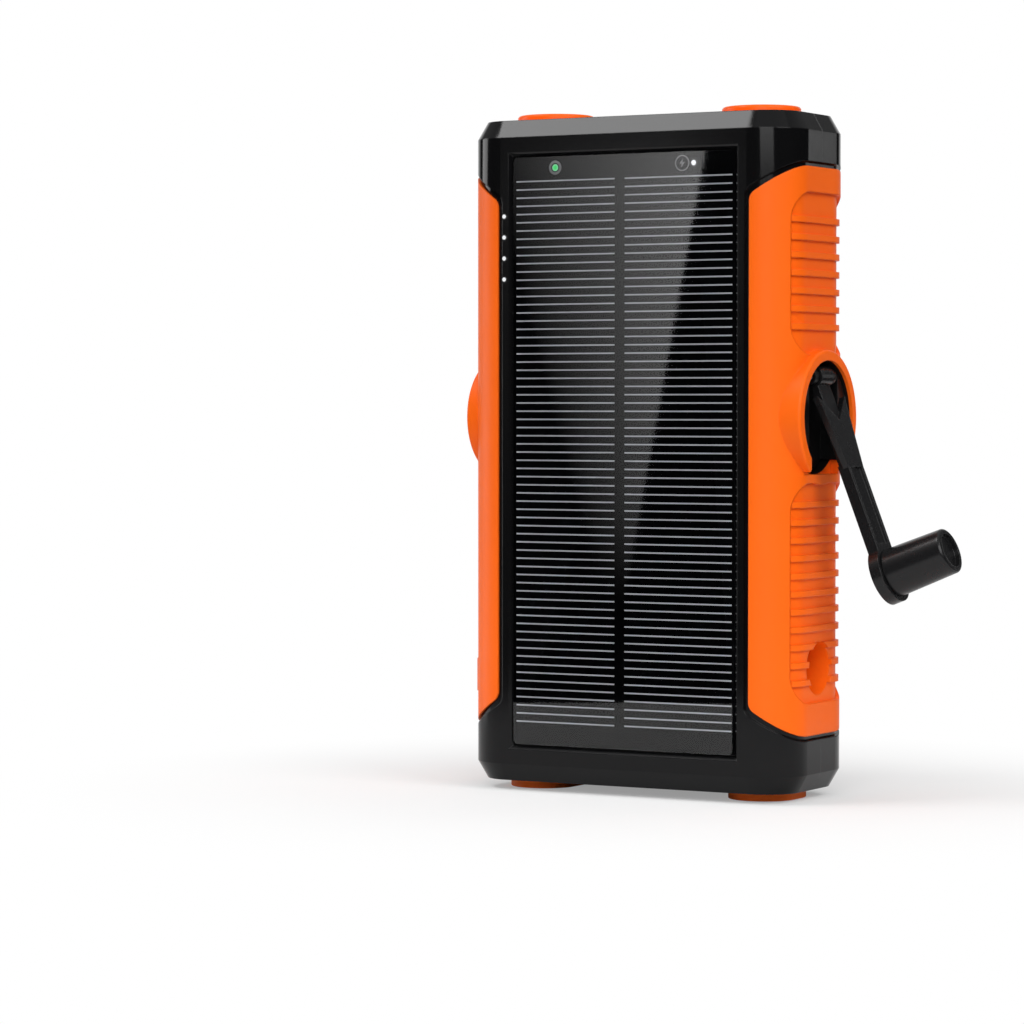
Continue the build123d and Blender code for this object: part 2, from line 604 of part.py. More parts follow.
def lamps():
    """Reflectors, lenses, light-emitting diodes and their boards."""
    lens_top = PLATE_TOP + BEZEL_STAND - 0.6
    lens_bottom = lens_top - LENS_THICK
    board_top = lens_bottom - REFLECTOR_DEPTH
    wall = 0.7
    reflectors, lenses, diodes, boards = [], [], [], []
    for side in (1, -1):
        x = side * LAMP_X
        outer = Solid.make_cone(3.6, LENS_R - 0.05, REFLECTOR_DEPTH)
        inner = Solid.make_cone(3.6 - wall, LENS_R - 0.05 - wall, REFLECTOR_DEPTH)
        cup = (outer - inner).moved(Location((x, 0, board_top)))
        reflectors.append(cup)
        lens = rod_z(LENS_R, lens_bottom, lens_top, x)
        lenses.append(lens)
        diode = slab(x - 1.7, x + 1.7, -1.7, 1.7, board_top, board_top + 0.7)
        dome = rod_z(1.2, board_top + 0.7, board_top + 1.3, x)
        diodes.append(diode + dome)
        boards.append(rod_z(LAMP_BOARD_R, board_top - 1.0, board_top, x))
    write("lamp_reflectors", Compound(children=[p.solid() for p in reflectors]))
    write("lamp_lenses", Compound(children=[p.solid() for p in lenses]))
    write("lamp_diodes", Compound(children=[p.solid() for p in diodes]))
    write("lamp_boards", Compound(children=[p.solid() for p in boards]))


def port_shell(x, width, height, depth, wall, tongue):
    """A port's metal shell with its tongue, its mouth at the end plate."""
    top = PLATE_BOTTOM + 0.2
    base_y = BOARD_BACK_Y
    mid_y = base_y + height / 2
    shell = slab(x - width / 2, x + width / 2, base_y, base_y + height, top - depth, top)
    shell = fillet(shell.edges().filter_by(Axis.Z), min(height / 2 - 0.05, tongue[2]))
    shell -= slab(x - width / 2 + wall, x + width / 2 - wall, base_y + wall,
                  base_y + height - wall, top - depth + 2.0, top + 1)
    blade = slab(x - tongue[0] / 2, x + tongue[0] / 2, mid_y - tongue[1] / 2,
                 mid_y + tongue[1] / 2, top - depth + 1.5, top - 1.0)
    return shell + blade


# ---- boards and cells -----------------------------------------------------------------------------
def boards_and_cells():
    """Main board with its ports and screws, battery cells, coil and ferrite sheet."""
    front = -CAVITY_HALF_D
    rear = CAVITY_HALF_D
    board_front = BOARD_BACK_Y - BOARD_THICK
    board = slab(-BOARD_HALF_WIDTH, BOARD_HALF_WIDTH, board_front, BOARD_BACK_Y, BOARD_BOTTOM,
                 PLATE_BOTTOM - 3.6)
    chips = []
    for x0, x1, thick, rise, tall in ((-24, -12, 1.6, 10, 12), (6, 16, 3.2, 14, 10),
                                      (-6, 0, 1.2, 30, 6)):
        chips.append(slab(x0, x1, BOARD_BACK_Y, BOARD_BACK_Y + thick, BOARD_BOTTOM + rise,
                          BOARD_BOTTOM + rise + tall))
    board = fused([board] + chips)
    for side in (1, -1):
        board -= rod_z(LENS_R + 0.6, PLATE_BOTTOM - 13.6, PLATE_TOP, side * LAMP_X)
        for z in BOARD_POST_HEIGHTS:
            board -= rod_y(0.95, -20, 20, side * BOARD_POST_X, z)
    write("main_board", board)
    write("usb_a_port", port_shell(-7.4, 13.1, 5.7, 14.0, 0.35, (11.2, 1.8, 0.6)))
    write("usb_c_port", port_shell(8.2, 9.0, 3.3, 8.5, 0.35, (6.8, 0.7, 1.6)))
    half = BOARD_HALF_WIDTH - 4.4
    upper = slab(-half, half, front, board_front - 1.2, BOARD_BOTTOM, UPPER_CELL_TOP)
    write("battery_upper", fillet(upper.edges().filter_by(Axis.Y), 1.5))
    lower = []
    for layer in range(2):
        back = rear - COIL_THICK - FERRITE_THICK - layer * BATTERY_THICK
        cell = slab(13.3 - HALF_W, HALF_W - POCKET_DEPTH - POCKET_WALL - 0.7, back - BATTERY_THICK,
                    back, LOWER_CELL_BOTTOM, ROTOR_Z - CAN_R - LOWER_CELL_GAP)
        lower.append(fillet(cell.edges().filter_by(Axis.Y), 1.5).solid())
    write("batteries_lower", Compound(children=lower))
    coil = rod_y(21.0, rear - COIL_THICK, rear, 0, PAD_Z) - rod_y(9.0, rear - 2, rear + 1, 0, PAD_Z)
    write("charging_coil", coil)
    write("ferrite_sheet", rod_y(23.0, rear - COIL_THICK - FERRITE_THICK, rear - COIL_THICK, 0,
                                 PAD_Z))


def charging_pad():
    """Round charging pad of stepped rings with a dished centre."""
    floor = 0.0
    top = PAD_THICK + 0.1
    profile = [(0, floor), (PAD_R, floor), (PAD_R, top - 0.5), (PAD_R - 0.6, top), (27.6, top),
               (27.0, top - 0.6), (22.6, top - 0.6), (22.2, top - 0.2), (21.4, top - 0.2),
               (21.0, top - 0.6), (12.8, top - 0.9), (12.3, top - 0.5), (11.7, top - 0.5),
               (11.2, top - 0.9), (0.9, top - 1.3), (0.8, top - 0.9), (0, top - 0.9)]
    plane = Plane(origin=(0, HALF_D - PAD_THICK, PAD_Z), x_dir=(1, 0, 0), z_dir=(0, 0, 1))
    wire = Polyline(*[plane.from_local_coords((r, h, 0)) for r, h in profile], close=True)
    return revolve(make_face(wire), Axis((0, 0, PAD_Z), (0, 1, 0)), 360)


# ---- leads ---------------------------------------------------------------------------------------------
def lead_strap(x):
    """Flat strap in its channel, ending in a half round at its root."""
    half = STRAP_WIDTH / 2
    radius = STRAP_THICK / 2
    centre_y = STRAP_MID_Y
    root_z = CASE_HEIGHT - ROOT_DROP
    run = slab(x - half, x + half, centre_y - radius, centre_y + radius, PLUG_TOP, STRAP_BEND_Z)
    dy, dz = ROOT_Y - centre_y, root_z - STRAP_BEND_Z
    length = math.hypot(dy, dz)
    ny, nz = -dz / length * radius, dy / length * radius
    points = [(centre_y + ny, STRAP_BEND_Z + nz), (centre_y - ny, STRAP_BEND_Z - nz),
              (ROOT_Y - ny, root_z - nz), (ROOT_Y + ny, root_z + nz)]
    slope = prism_x(points, x - half, x + half)
    bend = rod_x(radius, x - half, x + half, centre_y, STRAP_BEND_Z)
    end = rod_x(radius, x - half, x + half, ROOT_Y, root_z)
    return fused([run, slope, bend, end])


def leads():
    """The three built-in leads: fixed root, strap, plug body and tip."""
    proud = HALF_D + PLUG_PROUD
    plug_back = POCKET_FLOOR_Y + 0.3
    root_z = CASE_HEIGHT - ROOT_DROP
    half = STRAP_WIDTH / 2
    roots = []
    for name, x, width in lead_layout():
        section = [(ROOT_Y - 3.3, PLATE_BOTTOM), (ROOT_Y - 0.85, PLATE_BOTTOM),
                   (ROOT_Y - 1.55, root_z - 0.5), (ROOT_Y - 1.55, PLATE_TOP),
                   (ROOT_Y - 3.3, PLATE_TOP)]
        root = prism_x(section, x - half, x + half)
        roots.append((root - rod_x(STRAP_THICK / 2 + 0.3, x - 10, x + 10, ROOT_Y, root_z)).solid())
        write(f"{name}_lead_strap", lead_strap(x))
        low = TONGUE_TOP if name == "usb" else PLUG_BOTTOM
        plug = slab(x - width / 2, x + width / 2, plug_back, proud, low, PLUG_TOP)
        plug = fillet(plug.edges().filter_by(Axis.Z), 0.8)
        mid_y = (plug_back + proud) / 2
        if name == "usb":
            tongue = slab(x - 6.0, x + 6.0, mid_y - 1.2, mid_y + 1.2, TONGUE_BOTTOM, TONGUE_TOP)
            plug += tongue
            contacts = []
            for place, length in ((-4.2, 8.2), (-1.4, 6.8), (1.4, 6.8), (4.2, 8.2)):
                contacts.append(slab(x + place - 0.75, x + place + 0.75, mid_y + 1.2,
                                     mid_y + 1.4, TONGUE_TOP - 0.6 - length, TONGUE_TOP - 0.6))
            write("usb_lead_contacts", Compound(children=[c.solid() for c in contacts]))
        else:
            thick = 1.5 if name == "phone" else 1.9
            tip = slab(x - 3.35, x + 3.35, mid_y - thick / 2, mid_y + thick / 2, TIP_BOTTOM,
                       PLUG_BOTTOM)
            write(f"{name}_lead_tip", fillet(tip.edges().filter_by(Axis.Y), 0.7))
        write(f"{name}_lead_plug", plug)
    write("lead_roots", Compound(children=roots))


# ---- compass and button -----------------------------------------------------------------------------------
def compass():
    """Compass bowl with its pivot, the turning card and the glass."""
    face_x = -HALF_W - COMPASS_STAND
    rim_x = face_x + 0.4
    floor_x = -HALF_W + COMPASS_DEPTH - 1.6
    glass_thick = 1.0
    bowl = rod_x(COMPASS_BORE_R - 0.05, rim_x, floor_x, 0, CRANK_Z)
    bowl -= rod_x(COMPASS_BORE_R - 0.05 - BOWL_WALL, rim_x - 1, floor_x - 1.0, 0, CRANK_Z)
    glass = rod_x(COMPASS_BORE_R - 0.1 - BOWL_WALL, rim_x + 0.1, rim_x + 0.1 + glass_thick, 0,
                  CRANK_Z)
    card_front = rim_x + 1.1 + 1.2
    card = rod_x(CARD_R, card_front, card_front + 0.8, 0, CRANK_Z)
    card += rod_x(1.8, card_front, card_front + 2.2, 0, CRANK_Z)
    card += slab(card_front + 0.8, card_front + 1.8, -6.0, 6.0, CRANK_Z - 1.2, CRANK_Z + 1.2)
    card -= rod_x(PIVOT_R + SHAFT_CLEARANCE, card_front + 0.5, card_front + 3, 0, CRANK_Z)
    pivot = rod_x(PIVOT_R, card_front + 0.56, floor_x - 0.8, 0, CRANK_Z)
    write("compass_bowl", bowl + pivot)
    write("compass_card", card)
    write("compass_glass", glass)


def button_parts():
    """Power button, its switch plunger, switch body and board."""
    face = -HALF_W - BUTTON_STAND
    seat = -HALF_W + GRIP_SKIN + 0.1
    cap = rod_x(BUTTON_R, face, seat, 0, BUTTON_Z)
    rim = cap.edges().filter_by(GeomType.CIRCLE).sort_by(Axis.X)[0]
    cap = fillet(rim, 0.5)
    flange = rod_x(BUTTON_FLANGE_R, seat, seat + 0.8, 0, BUTTON_Z)
    stem_end = seat + 2.4
    button = fused([cap, flange, rod_x(2.4, seat, stem_end, 0, BUTTON_Z)])
    write("power_button", button)
    switch_face = stem_end + BUTTON_TRAVEL + 0.2
    plunger_end = switch_face + 1.4
    write("switch_plunger", rod_x(1.6, stem_end, plunger_end, 0, BUTTON_Z))
    body_back = switch_face + 3.4
    body = slab(switch_face, body_back, -3.1, 3.1, BUTTON_Z - 3.1, BUTTON_Z + 3.1)
    body -= rod_x(1.66, switch_face - 1, plunger_end + BUTTON_TRAVEL + 0.1, 0, BUTTON_Z)
    write("button_switch", body)
    write("switch_board", slab(body_back, body_back + 1.2, -7.0, CAVITY_HALF_D - 0.9,
                               BUTTON_Z - 6.0, BUTTON_Z + 6.0))


# ---- crank -----------------------------------------------------------------------------------------------------
def crank_hub():
    """Hub that turns in its well: a disc with two cheeks and two ears for the hinge pin."""
    back = WELL_FLOOR_X + HUB_GAP
    disc = rod_x(BOSS_BORE_R - 0.55, back, HUB_RIM_X, 0, CRANK_Z)
    disc -= slab(HUB_FLOOR_X, HALF_W + CLEAR, -HUB_SLOT_HALF, HUB_SLOT_HALF, CRANK_Z - 20, CRANK_Z + 20)
    ears = []
    for side in (1, -1):
        y0, y1 = sorted((side * EAR_INNER, side * EAR_OUTER))
        block = slab(HUB_FLOOR_X - 0.2, PIN_X, y0, y1, CRANK_Z + PIN_RISE - EAR_R,
                     CRANK_Z + PIN_RISE + EAR_R)
        ears.append(block)
        ears.append(rod_y(EAR_R, y0, y1, PIN_X, CRANK_Z + PIN_RISE))
    hub = fused([disc] + ears)
    hub &= rod_x(BOSS_BORE_R - 0.55, back, HALF_W + CLEAR, 0, CRANK_Z)
    hub -= rod_y(PIN_R, -20, 20, PIN_X, CRANK_Z + PIN_RISE)
    hub -= rod_x(CRANK_SHAFT_R, back - 1, HUB_FLOOR_X - 2.0, 0, CRANK_Z)
    return hub


def arm_frame(shape):
    """Turn a piece drawn with the arm straight down to its open, leaning pose."""
    hinge = Axis((PIN_X, 0, CRANK_Z + PIN_RISE), (0, 1, 0))
    return shape.rotate(hinge, -ARM_TILT)


def crank_arm():
    """Folding arm: knuckle, tongue, a flared root with a notch, a channelled bar and a round end."""
    half_t = ARM_THICK / 2
    top = CRANK_Z + PIN_RISE
    knob_z = top - ARM_LENGTH

    def face_x(points, x0, x1):
        return prism_x([(y, top - along) for y, along in points], x0, x1)
    bar = face_x([(-ARM_WIDTH / 2, ARM_FLARE_END - 1), (ARM_WIDTH / 2, ARM_FLARE_END - 1),
                  (ARM_WIDTH / 2, ARM_LENGTH), (-ARM_WIDTH / 2, ARM_LENGTH)],
                 PIN_X - half_t, PIN_X + half_t)
    flare = face_x([(-ARM_FLARE / 2, ARM_FLARE_START), (0, ARM_FLARE_START + ARM_NOTCH_DEPTH),
                    (ARM_FLARE / 2, ARM_FLARE_START), (ARM_FLARE / 2 - 0.6, ARM_FLARE_START + 2),
                    (ARM_WIDTH / 2, ARM_FLARE_END), (-ARM_WIDTH / 2, ARM_FLARE_END),
                    (-ARM_FLARE / 2 + 0.6, ARM_FLARE_START + 2)],
                   PIN_X - 0.2, PIN_X + half_t)
    tongue = slab(PIN_X - half_t, PIN_X + half_t - 0.9, -ARM_TONGUE / 2, ARM_TONGUE / 2,
                  top - ARM_FLARE_END, top)
    knuckle = rod_y(KNUCKLE_R, -ARM_TONGUE / 2, ARM_TONGUE / 2, PIN_X, top)
    end = rod_x(ARM_END_R, PIN_X - half_t, PIN_X + half_t, 0, knob_z)
    arm = fused([bar, flare, tongue, knuckle, end])
    # long hollow in the outer face, which leaves a rim on both edges
    hollow = slab(PIN_X + half_t - 0.8, PIN_X + 9, -ARM_WIDTH / 2 + ARM_RIM,
                  ARM_WIDTH / 2 - ARM_RIM, knob_z + ARM_END_R + 0.5, top - ARM_FLARE_END)
    arm -= hollow
    arm -= rod_y(PIN_R + SHAFT_CLEARANCE, -20, 20, PIN_X, top)
    arm -= rod_x(KNOB_BORE_R, PIN_X - 9, PIN_X + 9, 0, knob_z)
    return arm_frame(arm)


def knob_parts():
    """Knob, and the rivet that it turns on."""
    knob_z = CRANK_Z + PIN_RISE - ARM_LENGTH
    face = PIN_X + ARM_THICK / 2
    base = face + 0.15
    barrel = Solid.make_cone(KNOB_R, KNOB_TIP_R, KNOB_LENGTH).moved(
        Plane(origin=(base, 0, knob_z), x_dir=(0, 1, 0), z_dir=(1, 0, 0)).location)
    tip = barrel.edges().filter_by(GeomType.CIRCLE).sort_by(Axis.X)[-1]
    knob = fillet(tip, 0.7)
    knob -= rod_x(KNOB_TIP_R - 1.4, base + KNOB_LENGTH - KNOB_DISH, 99, 0, knob_z)
    knob -= rod_x(KNOB_BORE_R + SHAFT_CLEARANCE, 0, base + KNOB_LENGTH - 3.0, 0, knob_z)
    rivet = rod_x(KNOB_BORE_R, PIN_X - ARM_THICK / 2 - 0.4, base + KNOB_LENGTH - 3.3, 0, knob_z)
    rivet += rod_x(KNOB_BORE_R + 1.2, PIN_X - ARM_THICK / 2 - 0.8, PIN_X - ARM_THICK / 2, 0, knob_z)
    write("crank_knob", arm_frame(knob))
    write("knob_rivet", arm_frame(rivet))


# ---- gear train ----------------------------------------------------------------------------------------------------
def involute_angle(pressure):
    """Involute function of a pressure angle in radians."""
    return math.tan(pressure) - pressure


def gear(teeth, x0, x1, z, first_tooth, bore):
    """Spur gear along X, one tooth centred on a stated angle from +Y towards +Z, in degrees."""
    pitch_r = MODULE * teeth / 2
    base_r = pitch_r * math.cos(math.radians(PRESSURE_ANGLE))
    tip_r = pitch_r + 0.9 * MODULE
    root_r = pitch_r - 1.15 * MODULE
    half_pitch = math.pi / (2 * teeth) - BACKLASH / (2 * pitch_r)
    base_half = half_pitch + involute_angle(math.radians(PRESSURE_ANGLE))
    start_r = max(base_r, root_r)
    flank = []
    steps = 4
    for step in range(steps + 1):
        r = start_r + (tip_r - start_r) * step / steps
        flank.append((r, base_half - involute_angle(math.acos(base_r / r))))
    if root_r < base_r:
        flank.insert(0, (root_r, base_half))
    points = []
    for tooth in range(teeth):
        middle = math.radians(first_tooth) + 2 * math.pi * tooth / teeth
        for r, angle in flank:
            points.append((r * math.cos(middle - angle), z + r * math.sin(middle - angle)))
        for r, angle in reversed(flank):
            points.append((r * math.cos(middle + angle), z + r * math.sin(middle + angle)))
    return prism_x(points, x0, x1) - rod_x(bore, x0 - 1, x1 + 1, 0, z)


IDLER_Z = CRANK_Z - MODULE * (CRANK_TEETH + PINION_TEETH) / 2
ROTOR_Z = IDLER_Z - MODULE * (IDLER_TEETH + PINION_TEETH) / 2
OUTER_PLATE_X = WELL_FLOOR_X - WELL_FLOOR - PLATE_THICK
INNER_PLATE_X = OUTER_PLATE_X - PLATE_GAP - PLATE_THICK
GEAR_ONE_X = (OUTER_PLATE_X - 5.6, OUTER_PLATE_X - 1.6)
GEAR_TWO_X = (GEAR_ONE_X[0] - 4.6, GEAR_ONE_X[0] - 1.0)


def gear_train():
    """Crank shaft, gears, gearbox plates and their screws, and the generator."""
    back = WELL_FLOOR_X + HUB_GAP
    shaft = rod_x(CRANK_SHAFT_R, INNER_PLATE_X + 0.1, HUB_FLOOR_X - 2.0, 0, CRANK_Z)
    write("crank_shaft", shaft)
    tooth_gap = -90.0 + 180.0 / CRANK_TEETH
    write("crank_gear", gear(CRANK_TEETH, *GEAR_ONE_X, CRANK_Z, tooth_gap, CRANK_SHAFT_R))
    running = CRANK_SHAFT_R + SHAFT_CLEARANCE
    bush = rod_x(BUSH_R, OUTER_PLATE_X, WELL_FLOOR_X, 0, CRANK_Z)
    flange = rod_x(BUSH_R + 1.4, WELL_FLOOR_X, WELL_FLOOR_X + 0.35, 0, CRANK_Z)
    write("hub_bush", bush + flange - rod_x(running, 0, HALF_W, 0, CRANK_Z))
    # the compound idler: the pinion meets the crank gear, the wheel drives the rotor
    pinion = gear(PINION_TEETH, GEAR_TWO_X[1], GEAR_ONE_X[1], IDLER_Z, 90.0, 1.06)
    wheel = gear(IDLER_TEETH, *GEAR_TWO_X, IDLER_Z, -90.0 + 180.0 / IDLER_TEETH, 1.06)
    write("idler_gear", pinion + wheel)
    write("idler_pin", rod_x(SMALL_SHAFT_R, INNER_PLATE_X, OUTER_PLATE_X + PLATE_THICK, 0, IDLER_Z))
    write("rotor_pinion", gear(PINION_TEETH, GEAR_TWO_X[0] - 0.2, GEAR_TWO_X[1] + 0.2, ROTOR_Z,
                               90.0, SMALL_SHAFT_R))
    plate_low, plate_high = ROTOR_Z - 5.6, CRANK_Z + 16.4
    posts = [(y, z) for y in (-9.6, 9.6) for z in (IDLER_Z - 11.4, CRANK_Z + 12.8)]

    def plate(x0):
        return rounded_bar_x(GEARBOX_HALF_WIDTH, 0, plate_low, plate_high, 3.0, x0,
                             x0 + PLATE_THICK)
    base = plate(INNER_PLATE_X)
    pillars = [rod_x(1.9, INNER_PLATE_X + PLATE_THICK - 0.2, OUTER_PLATE_X, y, z)
               for y, z in posts]
    base = fused([base] + pillars)
    for y, z in posts:
        base -= rod_x(0.85, OUTER_PLATE_X - 7.0, OUTER_PLATE_X + 1, y, z)
    base -= rod_x(running, 0, HALF_W, 0, CRANK_Z)
    base -= rod_x(SMALL_SHAFT_R, 0, HALF_W, 0, IDLER_Z)
    base -= rod_x(SMALL_SHAFT_R + SHAFT_CLEARANCE, 0, HALF_W, 0, ROTOR_Z)
    write("gearbox_base", base)
    cover = plate(OUTER_PLATE_X)
    cover -= rod_x(BUSH_R, 0, HALF_W, 0, CRANK_Z)
    cover -= rod_x(SMALL_SHAFT_R, 0, HALF_W, 0, IDLER_Z)
    screws = []
    for y, z in posts:
        cover -= rod_x(1.0, 0, HALF_W, y, z)
        cover -= rod_x(1.75, OUTER_PLATE_X + 0.7, HALF_W, y, z)
        shank = rod_x(0.82, OUTER_PLATE_X - 6.5, OUTER_PLATE_X + 0.7, y, z)
        screws.append(shank + rod_x(1.6, OUTER_PLATE_X + 0.7, OUTER_PLATE_X + PLATE_THICK, y, z))
    write("gearbox_cover", cover)
    write("small_screws", Compound(children=[s.solid() for s in screws + board_screws()]))
    write("hub_pin", rod_y(PIN_R, -EAR_OUTER, EAR_OUTER, PIN_X, CRANK_Z + PIN_RISE))
    generator()


def board_screws():
    """The four screws that hold the main board to its posts."""
    board_front = BOARD_BACK_Y - BOARD_THICK
    screws = []
    for side in (1, -1):
        for z in BOARD_POST_HEIGHTS:
            head = rod_y(1.6, board_front - 0.9, board_front, side * BOARD_POST_X, z)
            screws.append(head + rod_y(0.82, board_front, BOARD_BACK_Y + 5.0, side * BOARD_POST_X, z))
    return screws


def generator():
    """Generator can with its coils, and the magnet rotor on its shaft."""
    can_front = INNER_PLATE_X
    can_back = can_front - CAN_LENGTH
    can = rod_x(CAN_R, can_back, can_front, 0, ROTOR_Z)
    can -= rod_x(CAN_R - CAN_WALL, can_back + 1.5, can_front - 1.5, 0, ROTOR_Z)
    can -= rod_x(SMALL_SHAFT_R + SHAFT_CLEARANCE, can_back - 1, can_front + 1, 0, ROTOR_Z)
    write("generator_can", can)
    ring = rod_x(CAN_R - CAN_WALL, can_back + 3.0, can_front - 3.0, 0, ROTOR_Z)
    ring -= rod_x(7.0, can_back, can_front, 0, ROTOR_Z)
    write("stator_coils", ring)
    magnet = rod_x(6.4, can_back + 4.0, can_front - 4.0, 0, ROTOR_Z)
    magnet -= rod_x(SMALL_SHAFT_R, can_back, can_front, 0, ROTOR_Z)
    write("rotor_magnet", magnet)
    write("rotor_shaft", rod_x(SMALL_SHAFT_R, can_back + 0.2, GEAR_TWO_X[1] + 0.2, 0, ROTOR_Z))


def foot_pad(side, grow, bottom, top):
    """The oblong outline of one foot, as an upright block."""
    outline = Plane.XY.offset(bottom) * Location((side * FOOT_X, 0)) * RectangleRounded(
        2 * (FOOT_HALF_WIDTH + grow), 2 * (FOOT_HALF_DEPTH + grow), FOOT_CORNER_R + grow)
    return extrude(outline, amount=top - bottom)


def feet():
    """The two feet: oblong pads let a little way into the case's underside."""
    pads = []
    for side in (1, -1):
        pad = foot_pad(side, 0.0, -FOOT_HEIGHT, FOOT_SPIGOT)
        low = [e for e in pad.edges() if e.center().Z < 0.001 - FOOT_HEIGHT]
        pads.append(fillet(low, FOOT_EDGE_R).solid())
    return Compound(children=pads)


def main():
    block = case_block()
    write("front_shell", front_shell(block))
    write("back_shell", back_shell(block))
    write("case_screws", case_screws())
    write("crank_grip", crank_grip())
    write("compass_grip", compass_grip())
    write("end_plate", end_plate())
    write("port_cover", port_cover())
    write("feet", feet())
    write("charging_pad", charging_pad())
    solar_face()
    lamps()
    boards_and_cells()
    leads()
    compass()
    button_parts()
    write("crank_hub", crank_hub())
    write("crank_arm", crank_arm())
    knob_parts()
    gear_train()


main()
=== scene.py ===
# %% [markdown]
# # A hand crank phone charger, finished in Blender
#
# The charger is a flat case that stands on its end. One side carries a folding crank, the other a
# compass, the front a solar panel and the back a charging pad with three built-in leads. The
# engineering model already has every part at its true place and size. This lesson gives those
# parts their finishes, and remakes the few whose detail is too fine or too soft for an
# engineering model: the printed lines of the solar cells, the faceted reflectors, the rubber
# straps and the compass dial.

# %% Load the engineering model as a fixed frame
import math

import bmesh
import bpy
from mathutils import Matrix, Vector


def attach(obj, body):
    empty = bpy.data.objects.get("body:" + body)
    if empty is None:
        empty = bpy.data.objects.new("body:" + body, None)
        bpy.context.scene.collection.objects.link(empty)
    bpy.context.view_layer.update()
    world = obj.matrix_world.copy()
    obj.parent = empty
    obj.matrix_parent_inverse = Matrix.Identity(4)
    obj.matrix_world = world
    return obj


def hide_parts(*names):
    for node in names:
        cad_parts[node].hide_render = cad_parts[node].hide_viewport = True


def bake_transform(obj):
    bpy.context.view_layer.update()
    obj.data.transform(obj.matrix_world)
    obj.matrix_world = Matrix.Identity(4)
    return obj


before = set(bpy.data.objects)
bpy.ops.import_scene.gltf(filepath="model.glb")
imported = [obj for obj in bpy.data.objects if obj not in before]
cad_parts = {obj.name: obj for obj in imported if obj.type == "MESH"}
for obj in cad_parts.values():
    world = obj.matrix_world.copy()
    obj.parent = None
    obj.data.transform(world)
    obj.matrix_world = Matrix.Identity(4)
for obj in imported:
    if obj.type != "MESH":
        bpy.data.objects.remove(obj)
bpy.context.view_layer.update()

# %% [markdown]
# ## Sizes in millimetres
#
# Blender works in metres here, and a charger is easier to think about in millimetres. One factor
# turns the one into the other. The few sizes below are those that several pieces share: the lead
# spacing, the height of the crank's axis above the floor, and the two big faces of the case.

# %% Shared sizes
MM = 0.001
FLOOR_TO_CASE = 2.4
CRANK_AXIS = 91.1 + FLOOR_TO_CASE
CASE_TOP = 165.0 + FLOOR_TO_CASE
PAD_AXIS = 37.0 + FLOOR_TO_CASE
SOLAR_FACE = -19.2
BACK_FACE = 19.2
LEADS = {"phone": 18.9, "usb": 0.0, "micro": -18.9}


def mm(*values):
    """A point given in millimetres, as a vector in metres."""
    return Vector(values) * MM


print("crank axis height:", CRANK_AXIS, "mm")

# %% [markdown]
# ## Shader maths that reads like arithmetic
#
# A finish is a network of nodes, and building one node at a time hides the idea behind it. The
# class below wraps a node's output, so that `height * 2 + grain` adds the Math nodes by itself.
# Every other kind of node comes from one method, `node`, which takes the node's type, its
# settings and what goes into its sockets.

# %% A finish builder


class Wire:
    """An output of a node, for use in sums and products."""

    def __init__(self, finish, socket):
        self.finish = finish
        self.socket = socket

    def _sum(self, operation, first, second=None):
        values = {0: first} if second is None else {0: first, 1: second}
        return self.finish.node("ShaderNodeMath", {"operation": operation}, values)

    def __add__(self, other):
        return self._sum("ADD", self, other)

    def __radd__(self, other):
        return self._sum("ADD", other, self)

    def __sub__(self, other):
        return self._sum("SUBTRACT", self, other)

    def __rsub__(self, other):
        return self._sum("SUBTRACT", other, self)

    def __mul__(self, other):
        return self._sum("MULTIPLY", self, other)

    def __rmul__(self, other):
        return self._sum("MULTIPLY", other, self)

    def __gt__(self, other):
        return self._sum("GREATER_THAN", self, other)

    def __lt__(self, other):
        return self._sum("LESS_THAN", self, other)

    def wave(self):
        return self._sum("SINE", self)

    def size(self):
        return self._sum("ABSOLUTE", self)

    def root(self):
        return self._sum("SQRT", self)

    def high(self, other):
        return self._sum("MAXIMUM", self, other)

    def to_nearest(self, pitch):
        """The distance to the nearest whole number of pitches."""
        return self._sum("PINGPONG", self, pitch / 2)


